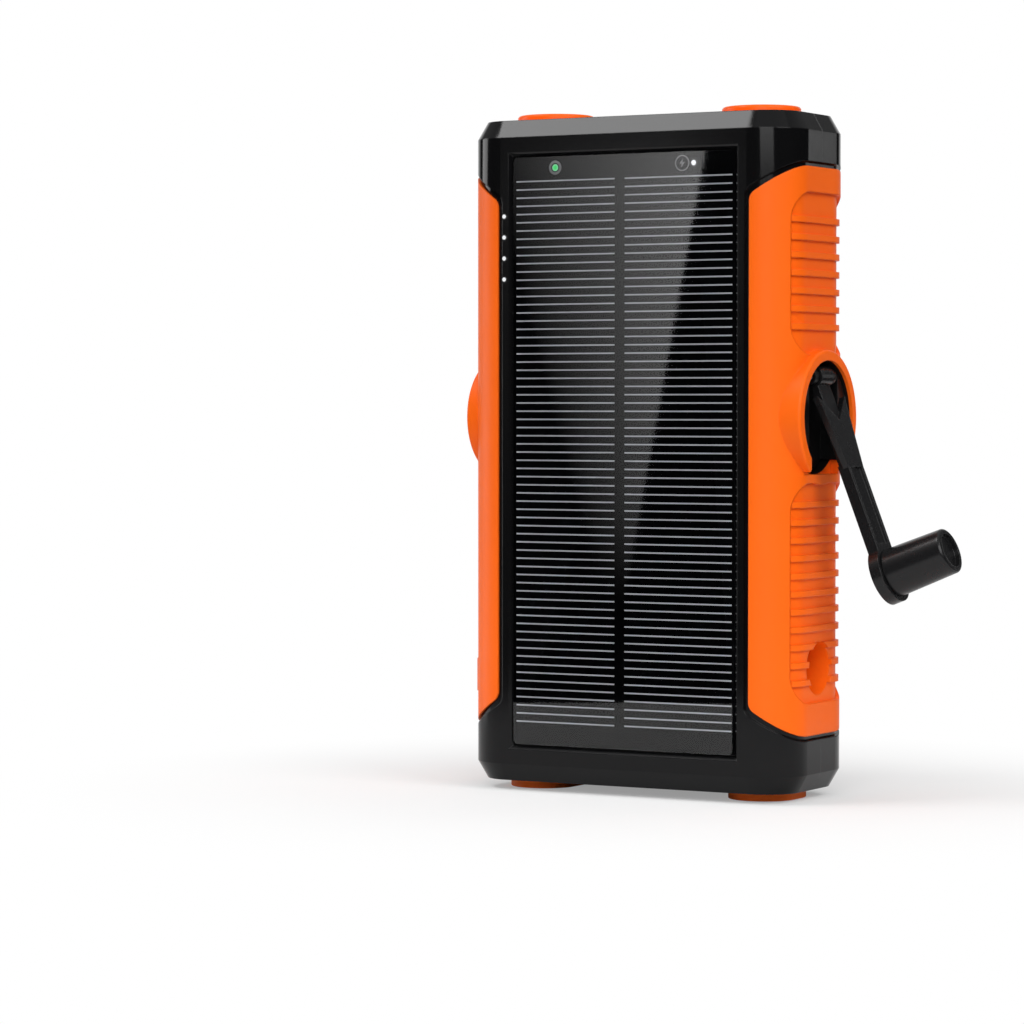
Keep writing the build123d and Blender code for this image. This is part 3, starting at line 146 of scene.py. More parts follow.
class Finish:
    """One material, or another tree of shader nodes, built by adding nodes."""

    def __init__(self, name, tree=None):
        self.material = None
        if tree is None:
            self.material = bpy.data.materials.new(name)
            self.material.use_nodes = True
            tree = self.material.node_tree
        self.tree = tree
        self.tree.nodes.clear()
        self.place = self.node("ShaderNodeTexCoord", {}, {}, "Object")

    def node(self, kind, settings, sockets, output=0):
        made = self.tree.nodes.new(kind)
        for name, value in settings.items():
            if name == "stops":
                while len(made.color_ramp.elements) < len(value):
                    made.color_ramp.elements.new(0.5)
                for stop, (where, colour) in zip(made.color_ramp.elements, value):
                    stop.position = where
                    stop.color = colour
            else:
                setattr(made, name, value)
        for name, value in sockets.items():
            target = made.inputs[name]
            if isinstance(value, Wire):
                self.tree.links.new(value.socket, target)
            else:
                target.default_value = value
        return Wire(self, made.outputs[output])

    def split(self, vector):
        """The three parts of a vector."""
        parts = self.node("ShaderNodeSeparateXYZ", {}, {0: vector})
        return [Wire(self, out) for out in parts.socket.node.outputs]

    def axes(self):
        """The three object coordinates, in metres."""
        return self.split(self.place)

    def from_axis(self, aside, up):
        """The distance from an axis, from the two distances square to it."""
        return (aside * aside + up * up).root()

    def ramp(self, start, stop, value):
        """0 where value is at start, 1 where it is at stop, and smooth between."""
        return self.node("ShaderNodeMapRange", {"interpolation_type": "SMOOTHSTEP"}, {
            "Value": value, "From Min": start, "From Max": stop})

    def noise(self, per_mm, detail=2.0, rough=0.5, where=None):
        """Smooth noise with about this many bumps in a millimetre."""
        return self.node("ShaderNodeTexNoise", {}, {
            "Vector": where or self.place, "Scale": per_mm * 1000.0, "Detail": detail,
            "Roughness": rough})

    def between(self, low, high, share):
        """A number that goes from low to high as share goes from 0 to 1."""
        return self.node("ShaderNodeMapRange", {}, {
            "Value": share, "From Min": 0.0, "From Max": 1.0, "To Min": low, "To Max": high})

    def mix(self, share, first, second):
        """A colour that goes from first to second as share goes from 0 to 1."""
        made = self.tree.nodes.new("ShaderNodeMix")
        made.data_type = "RGBA"
        for index, value in ((0, share), (6, first), (7, second)):
            if isinstance(value, Wire):
                self.tree.links.new(value.socket, made.inputs[index])
            else:
                made.inputs[index].default_value = value
        return Wire(self, made.outputs[2])

    def bump(self, height, depth_mm, strength=1.0, normal=None):
        """A normal from a height between 0 and 1, for grooves this deep."""
        sockets = {"Height": height, "Distance": depth_mm * MM, "Strength": strength}
        if normal is not None:
            sockets["Normal"] = normal
        return self.node("ShaderNodeBump", {}, sockets)

    def soft_edges(self, radius_mm):
        """A normal that rounds off the sharp corners of a machined shape."""
        return self.node("ShaderNodeBevel", {"samples": 4}, {"Radius": radius_mm * MM})

    def surface(self, **sockets):
        """Ends the material in one plain surface shader."""
        names = {key.replace("_", " ").title(): value for key, value in sockets.items()}
        names = {key.replace("Ior", "IOR"): value for key, value in names.items()}
        return self.end(self.node("ShaderNodeBsdfPrincipled", {}, names))

    def end(self, shader, kind="ShaderNodeOutputMaterial"):
        out = self.tree.nodes.new(kind)
        self.tree.links.new(shader.socket, out.inputs["Surface"])
        return self.material


def paint(red, green, blue):
    """A colour as a paint chart gives it (0 to 255), turned into Blender's linear values."""
    linear = []
    for value in (red, green, blue):
        share = value / 255.0
        linear.append(share / 12.92 if share <= 0.04045 else ((share + 0.055) / 1.055) ** 2.4)
    return (*linear, 1.0)


def toned(colour, factor):
    """A darker or paler tone of a colour."""
    return tuple(min(1.0, share * factor) for share in colour[:3]) + (1.0,)


print("a mid orange is", [round(v, 3) for v in paint(250, 108, 22)])

# %% [markdown]
# ## The case: polished black, with a matt back
#
# The shells are injection moulded in black plastic. The mould is polished where the case is
# glossy and spark eroded where the back is matt, which leaves a fine, even grain. One material
# can do both: a mask from the height above the back plane tells the grain and the roughness
# where the matt area is. Polished plastic is never perfectly flat, so a very shallow, wide wave
# bends the reflections a little.

# %% Case finish


def case_finish():
    f = Finish("case_black")
    _, y, _ = f.axes()
    matt = y > (BACK_FACE - 0.03) * MM
    grain = f.noise(9.0, detail=3.0, rough=0.6)
    wave = f.noise(0.05, detail=1.0)
    smears = f.noise(0.12, detail=4.0, rough=0.65)
    shine = f.between(0.07, 0.16, smears)
    rough = shine + matt * (0.46 - shine)
    colour = f.mix(matt, paint(13, 13, 14), paint(58, 58, 59))
    height = wave * 0.5 + grain * (0.010 + matt * 0.16)
    normal = f.bump(height, 0.12, 0.35, f.soft_edges(0.35))
    return f.surface(base_color=colour, roughness=rough, normal=normal, specular_ior_level=0.2)


case_black = case_finish()
print(case_black.name, len(case_black.node_tree.nodes), "nodes")

# %% [markdown]
# ## The grips: orange rubber over the sides
#
# The grips are a soft orange elastomer with an eggshell sheen. Real rubber shows a fine moulded
# grain, slight differences in shade where the flow slowed down, and patches that are a little
# duller. The inner wall of the round well that the crank's hub sits in is orange rubber painted
# near black, as painted shade for the deep shadow there, so that the hub seems to float in it. A
# mask finds that wall by its distance from the crank's axis.

# %% Orange finishes
WELL_RADIUS, WELL_RIM = 13.92, 46.3


def orange_finish(name, colour, dark, rough, grain_depth, edge=0.5, painted_well_shade=False):
    f = Finish(name)
    grain = f.noise(7.0, detail=2.0)
    flow = f.noise(0.04, detail=3.0)
    shade = f.mix(f.between(0.0, 0.55, flow), colour, dark)
    # Painted shade: the orange inner wall of the hub's well is painted near black, standing in for
    # its shadow.
    if painted_well_shade:
        x, y, z = f.axes()
        out = f.from_axis(y, z - CRANK_AXIS * MM)
        well_shade = (out < WELL_RADIUS * MM) * (x < WELL_RIM * MM) * (x > 0.0)
        shade = f.mix(well_shade, shade, paint(22, 18, 17))
    normal = f.bump(grain, grain_depth, 0.5, f.soft_edges(edge))
    dull = f.between(rough - 0.05, rough + 0.07, f.noise(0.2, detail=4.0))
    return f.surface(base_color=shade, roughness=dull, normal=normal, specular_ior_level=0.15)


grip_orange = orange_finish("grip_orange", paint(252, 106, 18), paint(243, 96, 14), 0.40, 0.05,
                            painted_well_shade=True)
plate_orange = orange_finish("plate_orange", paint(243, 99, 17), paint(235, 93, 13), 0.34, 0.02,
                             0.3)
strap_orange = orange_finish("strap_orange", paint(252, 116, 38), paint(245, 106, 30), 0.5, 0.04,
                             0.3)
for finish in (grip_orange, plate_orange, strap_orange):
    print(finish.name, len(finish.node_tree.nodes), "nodes")

# %% [markdown]
# ## Small black parts
#
# The crank arm and the knob are glossy glass-filled plastic, the hub behind them is satin, and
# the port cover is matt rubber. They differ only in shine and grain, so one recipe with four
# sets of numbers is enough.

# %% Black finishes


def black_finish(name, colour, rough, grain_depth, per_mm=5.0, edge=0.25):
    f = Finish(name)
    grain = f.noise(per_mm, detail=2.0)
    wear = f.noise(0.35, detail=4.0, rough=0.7)
    shade = f.mix(f.between(0.0, 0.4, wear), colour, toned(colour, 1.8))
    normal = f.bump(grain, grain_depth, 0.5, f.soft_edges(edge))
    return f.surface(base_color=shade, roughness=f.between(rough - 0.04, rough + 0.08, wear),
                     normal=normal, specular_ior_level=0.3)


arm_black = black_finish("arm_black", paint(19, 19, 20), 0.24, 0.01)
hub_black = black_finish("hub_black", paint(9, 9, 10), 0.36, 0.02)
cover_black = black_finish("cover_black", paint(38, 38, 40), 0.55, 0.05, per_mm=6.0)
inner_black = black_finish("inner_black", paint(30, 30, 31), 0.5, 0.03)
print("four black finishes")

# %% [markdown]
# ## Metals and electrical parts
#
# Inside the case are boards, cells, coils, gears and steel pins. They are seen only when the
# case is opened, but they still get a true finish: brushing on steel, a fine cross-hatch of
# copper strands on the coils, tracks on the boards. Each is a short recipe.

# %% Metal and board finishes
STRAND_PITCH = 0.7


def metal_finish(name, colour, rough, streak_per_mm=2.0, edge=0.1):
    f = Finish(name)
    long_way = f.node("ShaderNodeMapping", {}, {"Vector": f.place, "Scale": (1.0, 1.0, 0.06)})
    brushing = f.noise(streak_per_mm, detail=3.0, where=long_way)
    normal = f.bump(brushing, 0.01, 0.4, f.soft_edges(edge))
    return f.surface(base_color=colour, metallic=1.0, normal=normal,
                     roughness=f.between(rough - 0.06, rough + 0.1, brushing))


def board_finish():
    f = Finish("board_green")
    x, _, z = f.axes()
    tracks = ((x * 2600.0).wave() * (z * 2300.0).wave()).size() > 0.72
    colour = f.mix(tracks, paint(12, 74, 40), paint(20, 98, 54))
    return f.surface(base_color=colour, roughness=f.between(0.3, 0.22, tracks),
                     normal=f.bump(tracks, 0.03, 0.5), coat_weight=0.3)


def coil_finish():
    f = Finish("coil_copper")
    x, _, z = f.axes()
    out = f.from_axis(x, z - PAD_AXIS * MM)
    strands = (out * (2 * math.pi / (STRAND_PITCH * MM))).wave() * 0.5 + 0.5
    # The copper is darker in the grooves between the strands: painted shade between the wires.
    colour = f.mix(strands, paint(120, 52, 20), paint(216, 122, 62))
    return f.surface(base_color=colour, metallic=1.0, roughness=0.3,
                     normal=f.bump(strands, 0.2, 0.8))


def wrap_finish(name, colour, rough):
    f = Finish(name)
    creases = f.noise(0.15, detail=5.0, rough=0.7)
    shade = f.mix(f.between(0.0, 0.5, creases), colour, toned(colour, 0.8))
    return f.surface(base_color=shade, roughness=f.between(rough - 0.05, rough + 0.1, creases),
                     normal=f.bump(creases, 0.2, 0.5))


steel = metal_finish("steel", paint(176, 178, 182), 0.3)
port_steel = metal_finish("port_steel", paint(196, 197, 200), 0.22)
brass = metal_finish("gear_brass", paint(205, 165, 92), 0.28)
gold = metal_finish("contact_gold", paint(232, 190, 110), 0.2)
tip_metal = metal_finish("tip_metal", paint(222, 222, 224), 0.18)
board_green = board_finish()
coil_copper = coil_finish()
cell_wrap = wrap_finish("cell_wrap", paint(178, 182, 190), 0.35)
nylon = wrap_finish("gear_nylon", paint(226, 224, 214), 0.45)
magnet = wrap_finish("magnet", paint(62, 62, 66), 0.35)
print("metals and boards ready")

# %% [markdown]
# ## Clear parts
#
# The solar panel's cover and the compass glass are thin and flat, so they hardly bend light.
# Mixing a clear shader with a mirror by the Fresnel effect shows exactly what such a sheet does:
# it is see-through from in front and a mirror at a grazing angle. The sides of the sheet are
# ground and don't mirror, so the mirror works only on faces that look along one axis. The lamp
# lenses are the same glass laid flat, and the diodes under them are lit. So are the small lights
# of the panel: two for status on the front, and four for the battery's level at its edge.

# %% Glass and small lights


def sheet_glass(name, tint, facing):
    """Thin glass whose big faces look along one axis: 0 for X, 1 for Y, 2 for Z."""
    f = Finish(name)
    clear = f.node("ShaderNodeBsdfTransparent", {}, {"Color": tint})
    mirror = f.node("ShaderNodeBsdfGlossy", {}, {"Color": (1, 1, 1, 1), "Roughness": 0.02})
    edge_on = f.node("ShaderNodeFresnel", {}, {"IOR": 1.5})
    normal = f.node("ShaderNodeNewGeometry", {}, {}, "Normal")
    big_face = f.split(normal)[facing].size() > 0.5
    return f.end(f.node("ShaderNodeMixShader", {}, {0: edge_on * big_face, 1: clear, 2: mirror}))


def glow(name, colour, strength):
    f = Finish(name)
    speckle = f.noise(1.5, detail=1.0)
    return f.surface(base_color=colour, roughness=f.between(0.2, 0.4, speckle),
                     emission_color=colour, emission_strength=strength)


STATUS_X, STATUS_Z = 19.2, 152.8 + FLOOR_TO_CASE
LEVEL_X, LEVEL_Z, LEVEL_PITCH = -33.0, 141.0 + FLOOR_TO_CASE, 5.22


def status_finish():
    """Two light pipes in one part: a green one on the left and a small white one on the right."""
    f = Finish("status_glow")
    x, _, z = f.axes()
    out = f.from_axis(x.size() - STATUS_X * MM, z - STATUS_Z * MM)
    white = x > 0.0
    lit = out < (0.85 - white * 0.2) * MM
    colour = f.mix(white, f.mix(f.ramp(0.2 * MM, 0.8 * MM, out), paint(30, 205, 90),
                                paint(120, 205, 150)), paint(250, 250, 250))
    shown = f.mix(lit, paint(20, 20, 22), colour)
    return f.surface(base_color=paint(20, 20, 20), roughness=0.4, emission_color=shown,
                     emission_strength=1.0)


def level_finish():
    """Four light pipes, white in the middle and dark at the rim."""
    f = Finish("level_glow")
    x, _, z = f.axes()
    out = f.from_axis(x - LEVEL_X * MM, (z - LEVEL_Z * MM).to_nearest(LEVEL_PITCH * MM))
    shown = f.mix(out < 0.52 * MM, paint(20, 20, 22), paint(238, 240, 242))
    return f.surface(base_color=paint(20, 20, 20), roughness=0.4, emission_color=shown,
                     emission_strength=1.0)


cover_glass = sheet_glass("cover_glass", (0.97, 0.98, 1.0, 1.0), 1)
compass_cover = sheet_glass("compass_cover", (0.97, 0.98, 1.0, 1.0), 0)
lens_clear = sheet_glass("lens_clear", (0.98, 0.99, 1.0, 1.0), 2)
lamp_white = glow("lamp_white", (1.0, 0.99, 0.96, 1.0), 9.0)
level_glow = level_finish()
status_glow = status_finish()
print("clear parts ready")

# %% [markdown]
# ## The solar panel
#
# A solar cell is a black wafer with thin silver lines across it that gather the current, and
# wider gaps between the two columns of cells. The lines repeat at an even pitch, which is work
# for Geometry Nodes: one flat strip is instanced on a grid of points, with the pitch, the count
# and the strip's size as named inputs.

# %% A node tree that lays strips on a grid


def build_tree(name, inputs):
    """A geometry tree with named inputs. Returns the tree, its input and its output node."""
    tree = bpy.data.node_groups.new(name, "GeometryNodeTree")
    tree.interface.new_socket("Geometry", in_out="OUTPUT", socket_type="NodeSocketGeometry")
    for label, (kind, value) in inputs.items():
        socket = tree.interface.new_socket(label, in_out="INPUT", socket_type=kind)
        if value is not None:
            socket.default_value = value
    return tree, tree.nodes.new("NodeGroupInput"), tree.nodes.new("NodeGroupOutput")


def step(tree, kind, settings=None, **sockets):
    """One node of a geometry tree. A socket's name is written with underscores for spaces."""
    made = tree.nodes.new(kind)
    for key, value in (settings or {}).items():
        setattr(made, key, value)
    for key, value in sockets.items():
        target = made.inputs[key.replace("_", " ")]
        if isinstance(value, bpy.types.NodeSocket):
            tree.links.new(value, target)
        else:
            target.default_value = value
    return made


def strip_grid_tree():
    tree, given, result = build_tree("strip_grid", {
        "Columns": ("NodeSocketInt", 2), "Rows": ("NodeSocketInt", 67),
        "Spread X": ("NodeSocketFloat", 0.03), "Spread Z": ("NodeSocketFloat", 0.13),
        "Strip": ("NodeSocketVector", (0.02, 0.0001, 0.0003)),
        "Centre": ("NodeSocketVector", (0, 0, 0)), "Finish": ("NodeSocketMaterial", None)})
    inputs = given.outputs
    grid = step(tree, "GeometryNodeMeshGrid", Size_X=inputs["Spread X"], Size_Y=inputs["Spread Z"],
                Vertices_X=inputs["Columns"], Vertices_Y=inputs["Rows"])
    upright = step(tree, "GeometryNodeTransform", Geometry=grid.outputs["Mesh"],
                   Rotation=(math.pi / 2, 0, 0), Translation=inputs["Centre"])
    bar = step(tree, "GeometryNodeMeshCube", Size=inputs["Strip"])
    laid = step(tree, "GeometryNodeInstanceOnPoints", Points=upright.outputs["Geometry"],
                Instance=bar.outputs["Mesh"])
    real = step(tree, "GeometryNodeRealizeInstances", Geometry=laid.outputs["Instances"])
    painted = step(tree, "GeometryNodeSetMaterial", Geometry=real.outputs["Geometry"],
                   Material=inputs["Finish"])
    tree.links.new(painted.outputs["Geometry"], result.inputs["Geometry"])
    return tree


def grow(name, tree, values):
    """Runs a geometry tree on an empty mesh and keeps the plain result as a new piece."""
    seed = bpy.data.objects.new(name + "_seed", bpy.data.meshes.new(name + "_seed"))
    bpy.context.scene.collection.objects.link(seed)
    modifier = seed.modifiers.new("grow", "NODES")
    modifier.node_group = tree
    labels = {item.name: item.identifier for item in tree.interface.items_tree
              if item.item_type == "SOCKET" and item.in_out == "INPUT"}
    for label, value in values.items():
        modifier[labels[label]] = value
    bpy.context.view_layer.update()
    ready = seed.evaluated_get(bpy.context.evaluated_depsgraph_get())
    mesh = bpy.data.meshes.new_from_object(ready)
    mesh.name = name
    bpy.data.objects.remove(seed)
    piece = bpy.data.objects.new(name, mesh)
    bpy.context.scene.collection.objects.link(piece)
    print(name, len(mesh.polygons), "faces")
    return piece


strip_grid = strip_grid_tree()

# %% [markdown]
# The wafers lie under the cover glass. Their top is black with a very faint blue cast, and each
# column is as dark as the gap between them. The silver lines are a third of a millimetre wide,
# so they stay crisp as real strips, where a painted texture would blur.

# %% Wafers and their silver lines


def wafer_finish():
    f = Finish("wafer")
    crystal = f.noise(0.5, detail=3.0)
    return f.surface(base_color=f.mix(crystal, paint(3, 3, 4), paint(8, 8, 10)),
                     roughness=f.between(0.4, 0.5, crystal), specular_ior_level=0.05)


def print_finish(name, colour):
    """Silver or white ink, a little uneven in thickness."""
    f = Finish(name)
    ink = f.noise(4.0, detail=2.0)
    return f.surface(base_color=f.mix(ink, toned(colour, 0.8), colour),
                     roughness=f.between(0.4, 0.6, ink), specular_ior_level=0.2)


ROWS = 67
ROW_TOP, ROW_BOTTOM = 149.6 + FLOOR_TO_CASE, 15.1 + FLOOR_TO_CASE
GLASS_BACK = SOLAR_FACE + 0.3 + 1.1
silver = print_finish("silver_ink", paint(236, 237, 240))
silver_lines = []
for number, (left, right) in enumerate(((-30.2, -2.5), (0.3, 29.7))):
    silver_lines.append(grow(f"silver_lines_{number + 1}", strip_grid, {
        "Columns": 1, "Rows": ROWS, "Spread X": 0.0, "Spread Z": (ROW_TOP - ROW_BOTTOM) * MM,
        "Strip": ((right - left) * MM, 0.04 * MM, 0.36 * MM),
        "Centre": tuple(mm((left + right) / 2, GLASS_BACK, (ROW_TOP + ROW_BOTTOM) / 2)),
        "Finish": silver}))
    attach(silver_lines[-1], "housing")
wafer = wafer_finish()

# %% [markdown]
# ## Turning profiles into parts
#
# Reflectors, the pad's rings and the dial are round. A profile drawn as radius and height, spun
# round an axis, gives each of them. The helper below spins any profile, closes the poles and
# turns all faces outwards. With few steps round the axis the same helper makes facets.

# %% A lathe


def finish_mesh(name, maker, material):
    """Cleans a bmesh, turns its faces outwards and makes it a piece."""
    bmesh.ops.remove_doubles(maker, verts=maker.verts, dist=1e-6)
    bmesh.ops.recalc_face_normals(maker, faces=maker.faces)
    mesh = bpy.data.meshes.new(name)
    maker.to_mesh(mesh)
    maker.free()
    mesh.materials.append(material)
    piece = bpy.data.objects.new(name, mesh)
    bpy.context.scene.collection.objects.link(piece)
    return piece


def lathe(name, profile, centre, axis, material, steps=96, smooth=True):
    """Spins (radius, height) points in millimetres about an axis through centre."""
    maker = bmesh.new()
    turn = Vector((0, 0, 1)).rotation_difference(Vector(axis)).to_matrix()
    rings = []
    for radius, height in profile:
        count = 1 if radius == 0 else steps
        ring = []
        for k in range(count):
            angle = 2 * math.pi * k / steps
            point = Vector((radius * math.cos(angle), radius * math.sin(angle), height))
            ring.append(maker.verts.new((turn @ point + Vector(centre)) * MM))
        rings.append(ring)
    for low, high in zip(rings, rings[1:]):
        for k in range(steps):
            n = (k + 1) % steps
            corners = [low[k % len(low)], low[n % len(low)], high[n % len(high)],
                       high[k % len(high)]]
            corners = list(dict.fromkeys(corners))
            if len(corners) > 2:
                maker.faces.new(corners)
    for face in maker.faces:
        face.smooth = smooth
    piece = finish_mesh(name, maker, material)
    print(name, len(piece.data.polygons), "faces")
    return piece


# %% [markdown]
# ## Marks printed beside the status lights
#
# The left status light sits in a broad grey ring. The right one has a thin ring beside it with a
# bolt in it, the usual sign for charging. They are ink under the glass, so flat rings and a flat
# outline a few hundredths of a millimetre thick are all they need.

# %% Status marks
print_grey = print_finish("print_grey", paint(158, 156, 158))


def flat_ring(name, x, inner, outer):
    """A printed ring round a point of the panel."""
    return lathe(name, [(inner, 0), (outer, 0), (outer, 0.03), (inner, 0.03), (inner, 0)],
                 (x, GLASS_BACK, STATUS_Z), (0, -1, 0), print_grey, steps=48, smooth=False)


def flat_shape(name, outline, x, material):
    """A printed shape from its outline in millimetres round a point of the panel."""
    maker = bmesh.new()
    back = [maker.verts.new(mm(x + a, GLASS_BACK, STATUS_Z + b)) for a, b in outline]
    front = [maker.verts.new(mm(x + a, GLASS_BACK - 0.03, STATUS_Z + b)) for a, b in outline]
    maker.faces.new(back)
    maker.faces.new(front)
    for k in range(len(outline)):
        n = (k + 1) % len(outline)
        maker.faces.new((back[k], back[n], front[n], front[k]))
    return finish_mesh(name, maker, material)


SIGN_X = 16.1
bolt = [(0.25, 1.15), (-0.75, -0.15), (-0.1, -0.15), (-0.35, -1.2), (0.75, 0.25), (0.05, 0.25)]
marks = [flat_ring("status_ring_left", -STATUS_X, 1.15, 1.75),
         flat_ring("status_ring_right", SIGN_X, 1.65, 1.95),
         flat_shape("charging_bolt", bolt, SIGN_X, print_grey)]
for mark in marks:
    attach(mark, "housing")

# %% [markdown]
# ## The lamps
#
# Each lamp is a plastic cup coated with aluminium. Flat facets inside it spread the beam, and
# they are what makes a small torch sparkle. Sixteen steps round the axis and a few rings of
# different slope give the facets, and the shading is left flat so that each one shows.

# %% Faceted reflectors
mirror_coat = metal_finish("mirror_coat", paint(236, 237, 240), 0.08)
LAMP_X = 28.8
FACETS = 16
LENS_BOTTOM = CASE_TOP + 0.2
CUP_TOP, CUP_BOTTOM = LENS_BOTTOM - 0.02, LENS_BOTTOM - 9.5
cup_profile = [(3.6, CUP_BOTTOM), (8.1, CUP_TOP), (7.4, CUP_TOP)]
for share in (0.75, 0.5, 0.25, 0.0):
    cup_profile.append((2.6 + 4.6 * share ** 0.7, CUP_BOTTOM + 0.1 + 9.2 * share))
cup_profile.append((2.6, CUP_BOTTOM))
cup_profile.append((3.6, CUP_BOTTOM))
for side, x in (("compass", -LAMP_X), ("crank", LAMP_X)):
    cup = lathe(f"reflector_cup_{side}_side", cup_profile, (x, 0, 0), (0, 0, 1), mirror_coat,
                steps=FACETS, smooth=False)
    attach(cup, "housing")
    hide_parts("lamp_reflectors")

# %% [markdown]
# ## Rubber straps
#
# A built-in lead is a flat cable in orange rubber. It comes out of the lamp end, turns over the
# edge of the case and lies in its channel down to the plug. A real strap bends at its root when
# it is lifted, so the mesh has more cross sections there. The strap is a rounded oblong swept
# along a path of short steps.


def oblong(width, height, corner, per_corner=4):
    """Corner-rounded rectangle as (across, up) points, anticlockwise."""
    points = []
    for cx, cy, start in ((1, 1, 0), (-1, 1, 90), (-1, -1, 180), (1, -1, 270)):
        for k in range(per_corner + 1):
            angle = math.radians(start + 90 * k / per_corner)
            points.append((cx * (width / 2 - corner) + corner * math.cos(angle),
                           cy * (height / 2 - corner) + corner * math.sin(angle)))
    return points


def sweep(name, path, across, section, material):
    """A closed tube of one section along a path in the plane square to `across`."""
    maker = bmesh.new()
    rings = []
    for index, point in enumerate(path):
        before = path[max(index - 1, 0)]
        after = path[min(index + 1, len(path) - 1)]
        ahead = (Vector(after) - Vector(before)).normalized()
        up = Vector(across).cross(ahead)
        rings.append([maker.verts.new((Vector(point) + Vector(across) * a + up * b) * MM)
                      for a, b in section])
    for low, high in zip(rings, rings[1:]):
        for k in range(len(section)):
            n = (k + 1) % len(section)
            maker.faces.new((low[k], low[n], high[n], high[k]))
    maker.faces.new(list(reversed(rings[0])))
    maker.faces.new(rings[-1])
    for face in maker.faces:
        face.smooth = True
    return finish_mesh(name, maker, material)


def strap_path(x):
    """From inside the lamp end, over the bevel and down the channel, in millimetres."""
    corners = [(13.4, 163.9), (16.0, 164.7), (18.75, 160.0), (18.75, 97.2)]
    corners = [Vector((x, y, z + FLOOR_TO_CASE)) for y, z in corners]
    path = []
    for index, corner in enumerate(corners):
        if index in (0, len(corners) - 1):
            path.append(corner)
            continue
        before, after = corners[index - 1], corners[index + 1]
        reach = min(1.6, (before - corner).length * 0.45, (after - corner).length * 0.45)
        first = corner + (before - corner).normalized() * reach
        last = corner + (after - corner).normalized() * reach
        for k in range(7):
            t = k / 6
            path.append(first * (1 - t) ** 2 + corner * 2 * t * (1 - t) + last * t ** 2)
    tail = path[-2]
    end = path[-1]
    steps = 24
    return path[:-1] + [tail.lerp(end, (k / steps) ** 1.5) for k in range(1, steps + 1)]


for lead, x in LEADS.items():
    strap = sweep(f"{lead}_strap", strap_path(x), (1, 0, 0), oblong(4.8, 2.3, 0.7), strap_orange)
    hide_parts(f"{lead}_lead_strap")
    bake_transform(strap)
    print(strap.name, len(strap.data.polygons), "faces")

# %% [markdown]
# ## The compass dial
#
# The card that turns in the bowl is printed: a ring of fine ticks, longer ones every thirty
# degrees, and the four initials of the directions. Ticks repeat round a circle, so Geometry
# Nodes set them on the points of a mesh circle, each turned to face the middle. The marks lie
# on the card's outer face, ride on it, and give off a little light, a painted glow.

# %% Ticks round a circle


def tick_tree():
    tree, given, result = build_tree("tick_ring", {
        "Count": ("NodeSocketInt", 36), "Radius": ("NodeSocketFloat", 0.01),
        "Tick": ("NodeSocketVector", (0.001, 0.0002, 0.0001)),
        "Turn": ("NodeSocketVector", (0, 0, 0)), "Centre": ("NodeSocketVector", (0, 0, 0)),
        "Finish": ("NodeSocketMaterial", None)})
    inputs = given.outputs
    circle = step(tree, "GeometryNodeMeshCircle", Vertices=inputs["Count"],
                  Radius=inputs["Radius"])
    where = step(tree, "GeometryNodeInputPosition")
    facing = step(tree, "FunctionNodeAlignEulerToVector", {"axis": "X"},
                  Vector=where.outputs["Position"])
    bar = step(tree, "GeometryNodeMeshCube", Size=inputs["Tick"])
    laid = step(tree, "GeometryNodeInstanceOnPoints", Points=circle.outputs["Mesh"],
                Instance=bar.outputs["Mesh"], Rotation=facing.outputs["Rotation"])
    real = step(tree, "GeometryNodeRealizeInstances", Geometry=laid.outputs["Instances"])
    turned = step(tree, "GeometryNodeTransform", Geometry=real.outputs["Geometry"],
                  Rotation=inputs["Turn"], Translation=inputs["Centre"])
    painted = step(tree, "GeometryNodeSetMaterial", Geometry=turned.outputs["Geometry"],
                   Material=inputs["Finish"])
    tree.links.new(painted.outputs["Geometry"], result.inputs["Geometry"])
    return tree


tick_ring = tick_tree()
# The dial's printed marks and needle get a painted glow, a little light of their own.
dial_white = glow("dial_white", paint(236, 238, 236), 0.25)
dial_green = glow("dial_green", paint(60, 214, 96), 0.45)
dial_red = glow("dial_red", paint(222, 44, 32), 0.2)
CARD_FACE = -44.06
card_marks = []
for label, count, radius, tick, colour in (
        ("fine_ticks", 72, 9.9, (0.9, 0.18, 0.04), dial_white),
        ("long_ticks", 12, 9.3, (2.0, 0.34, 0.05), dial_green)):
    card_marks.append(grow(label, tick_ring, {
        "Count": count, "Radius": radius * MM, "Tick": tuple(v * MM for v in tick),
        "Turn": (0.0, -math.pi / 2, 0.0), "Centre": (CARD_FACE * MM, 0.0, CRANK_AXIS * MM),
        "Finish": colour}))

# %% Initials and the needle on the card


def dial_letter(letter, angle, colour):
    """One raised initial on the compass card, its foot towards the middle."""
    curve = bpy.data.curves.new("letter_" + letter, "FONT")
    curve.body = letter
    curve.size = 3.6 * MM
    curve.align_x = "CENTER"
    curve.align_y = "CENTER"
    curve.extrude = 0.03 * MM
    writing = bpy.data.objects.new("letter_" + letter, curve)
    bpy.context.scene.collection.objects.link(writing)
    bpy.context.view_layer.update()
    mesh = bpy.data.meshes.new_from_object(writing.evaluated_get(
        bpy.context.evaluated_depsgraph_get()))
    bpy.data.objects.remove(writing)
    stand = Matrix(((0, 0, -1, 0), (-1, 0, 0, 0), (0, 1, 0, 0), (0, 0, 0, 1)))
    spin = Matrix.Rotation(angle, 4, "X")
    place = Matrix.Translation(mm(CARD_FACE, 0, CRANK_AXIS))
    mesh.transform(place @ spin @ Matrix.Translation(mm(0, 0, 6.4)) @ stand)
    mesh.materials.clear()
    mesh.materials.append(colour)
    piece = bpy.data.objects.new("initial_" + letter, mesh)
    bpy.context.scene.collection.objects.link(piece)
    return piece


for letter, degrees, colour in (("N", 0, dial_green), ("E", 90, dial_white),
                                ("S", 180, dial_white), ("W", 270, dial_white)):
    card_marks.append(dial_letter(letter, math.radians(degrees), colour))


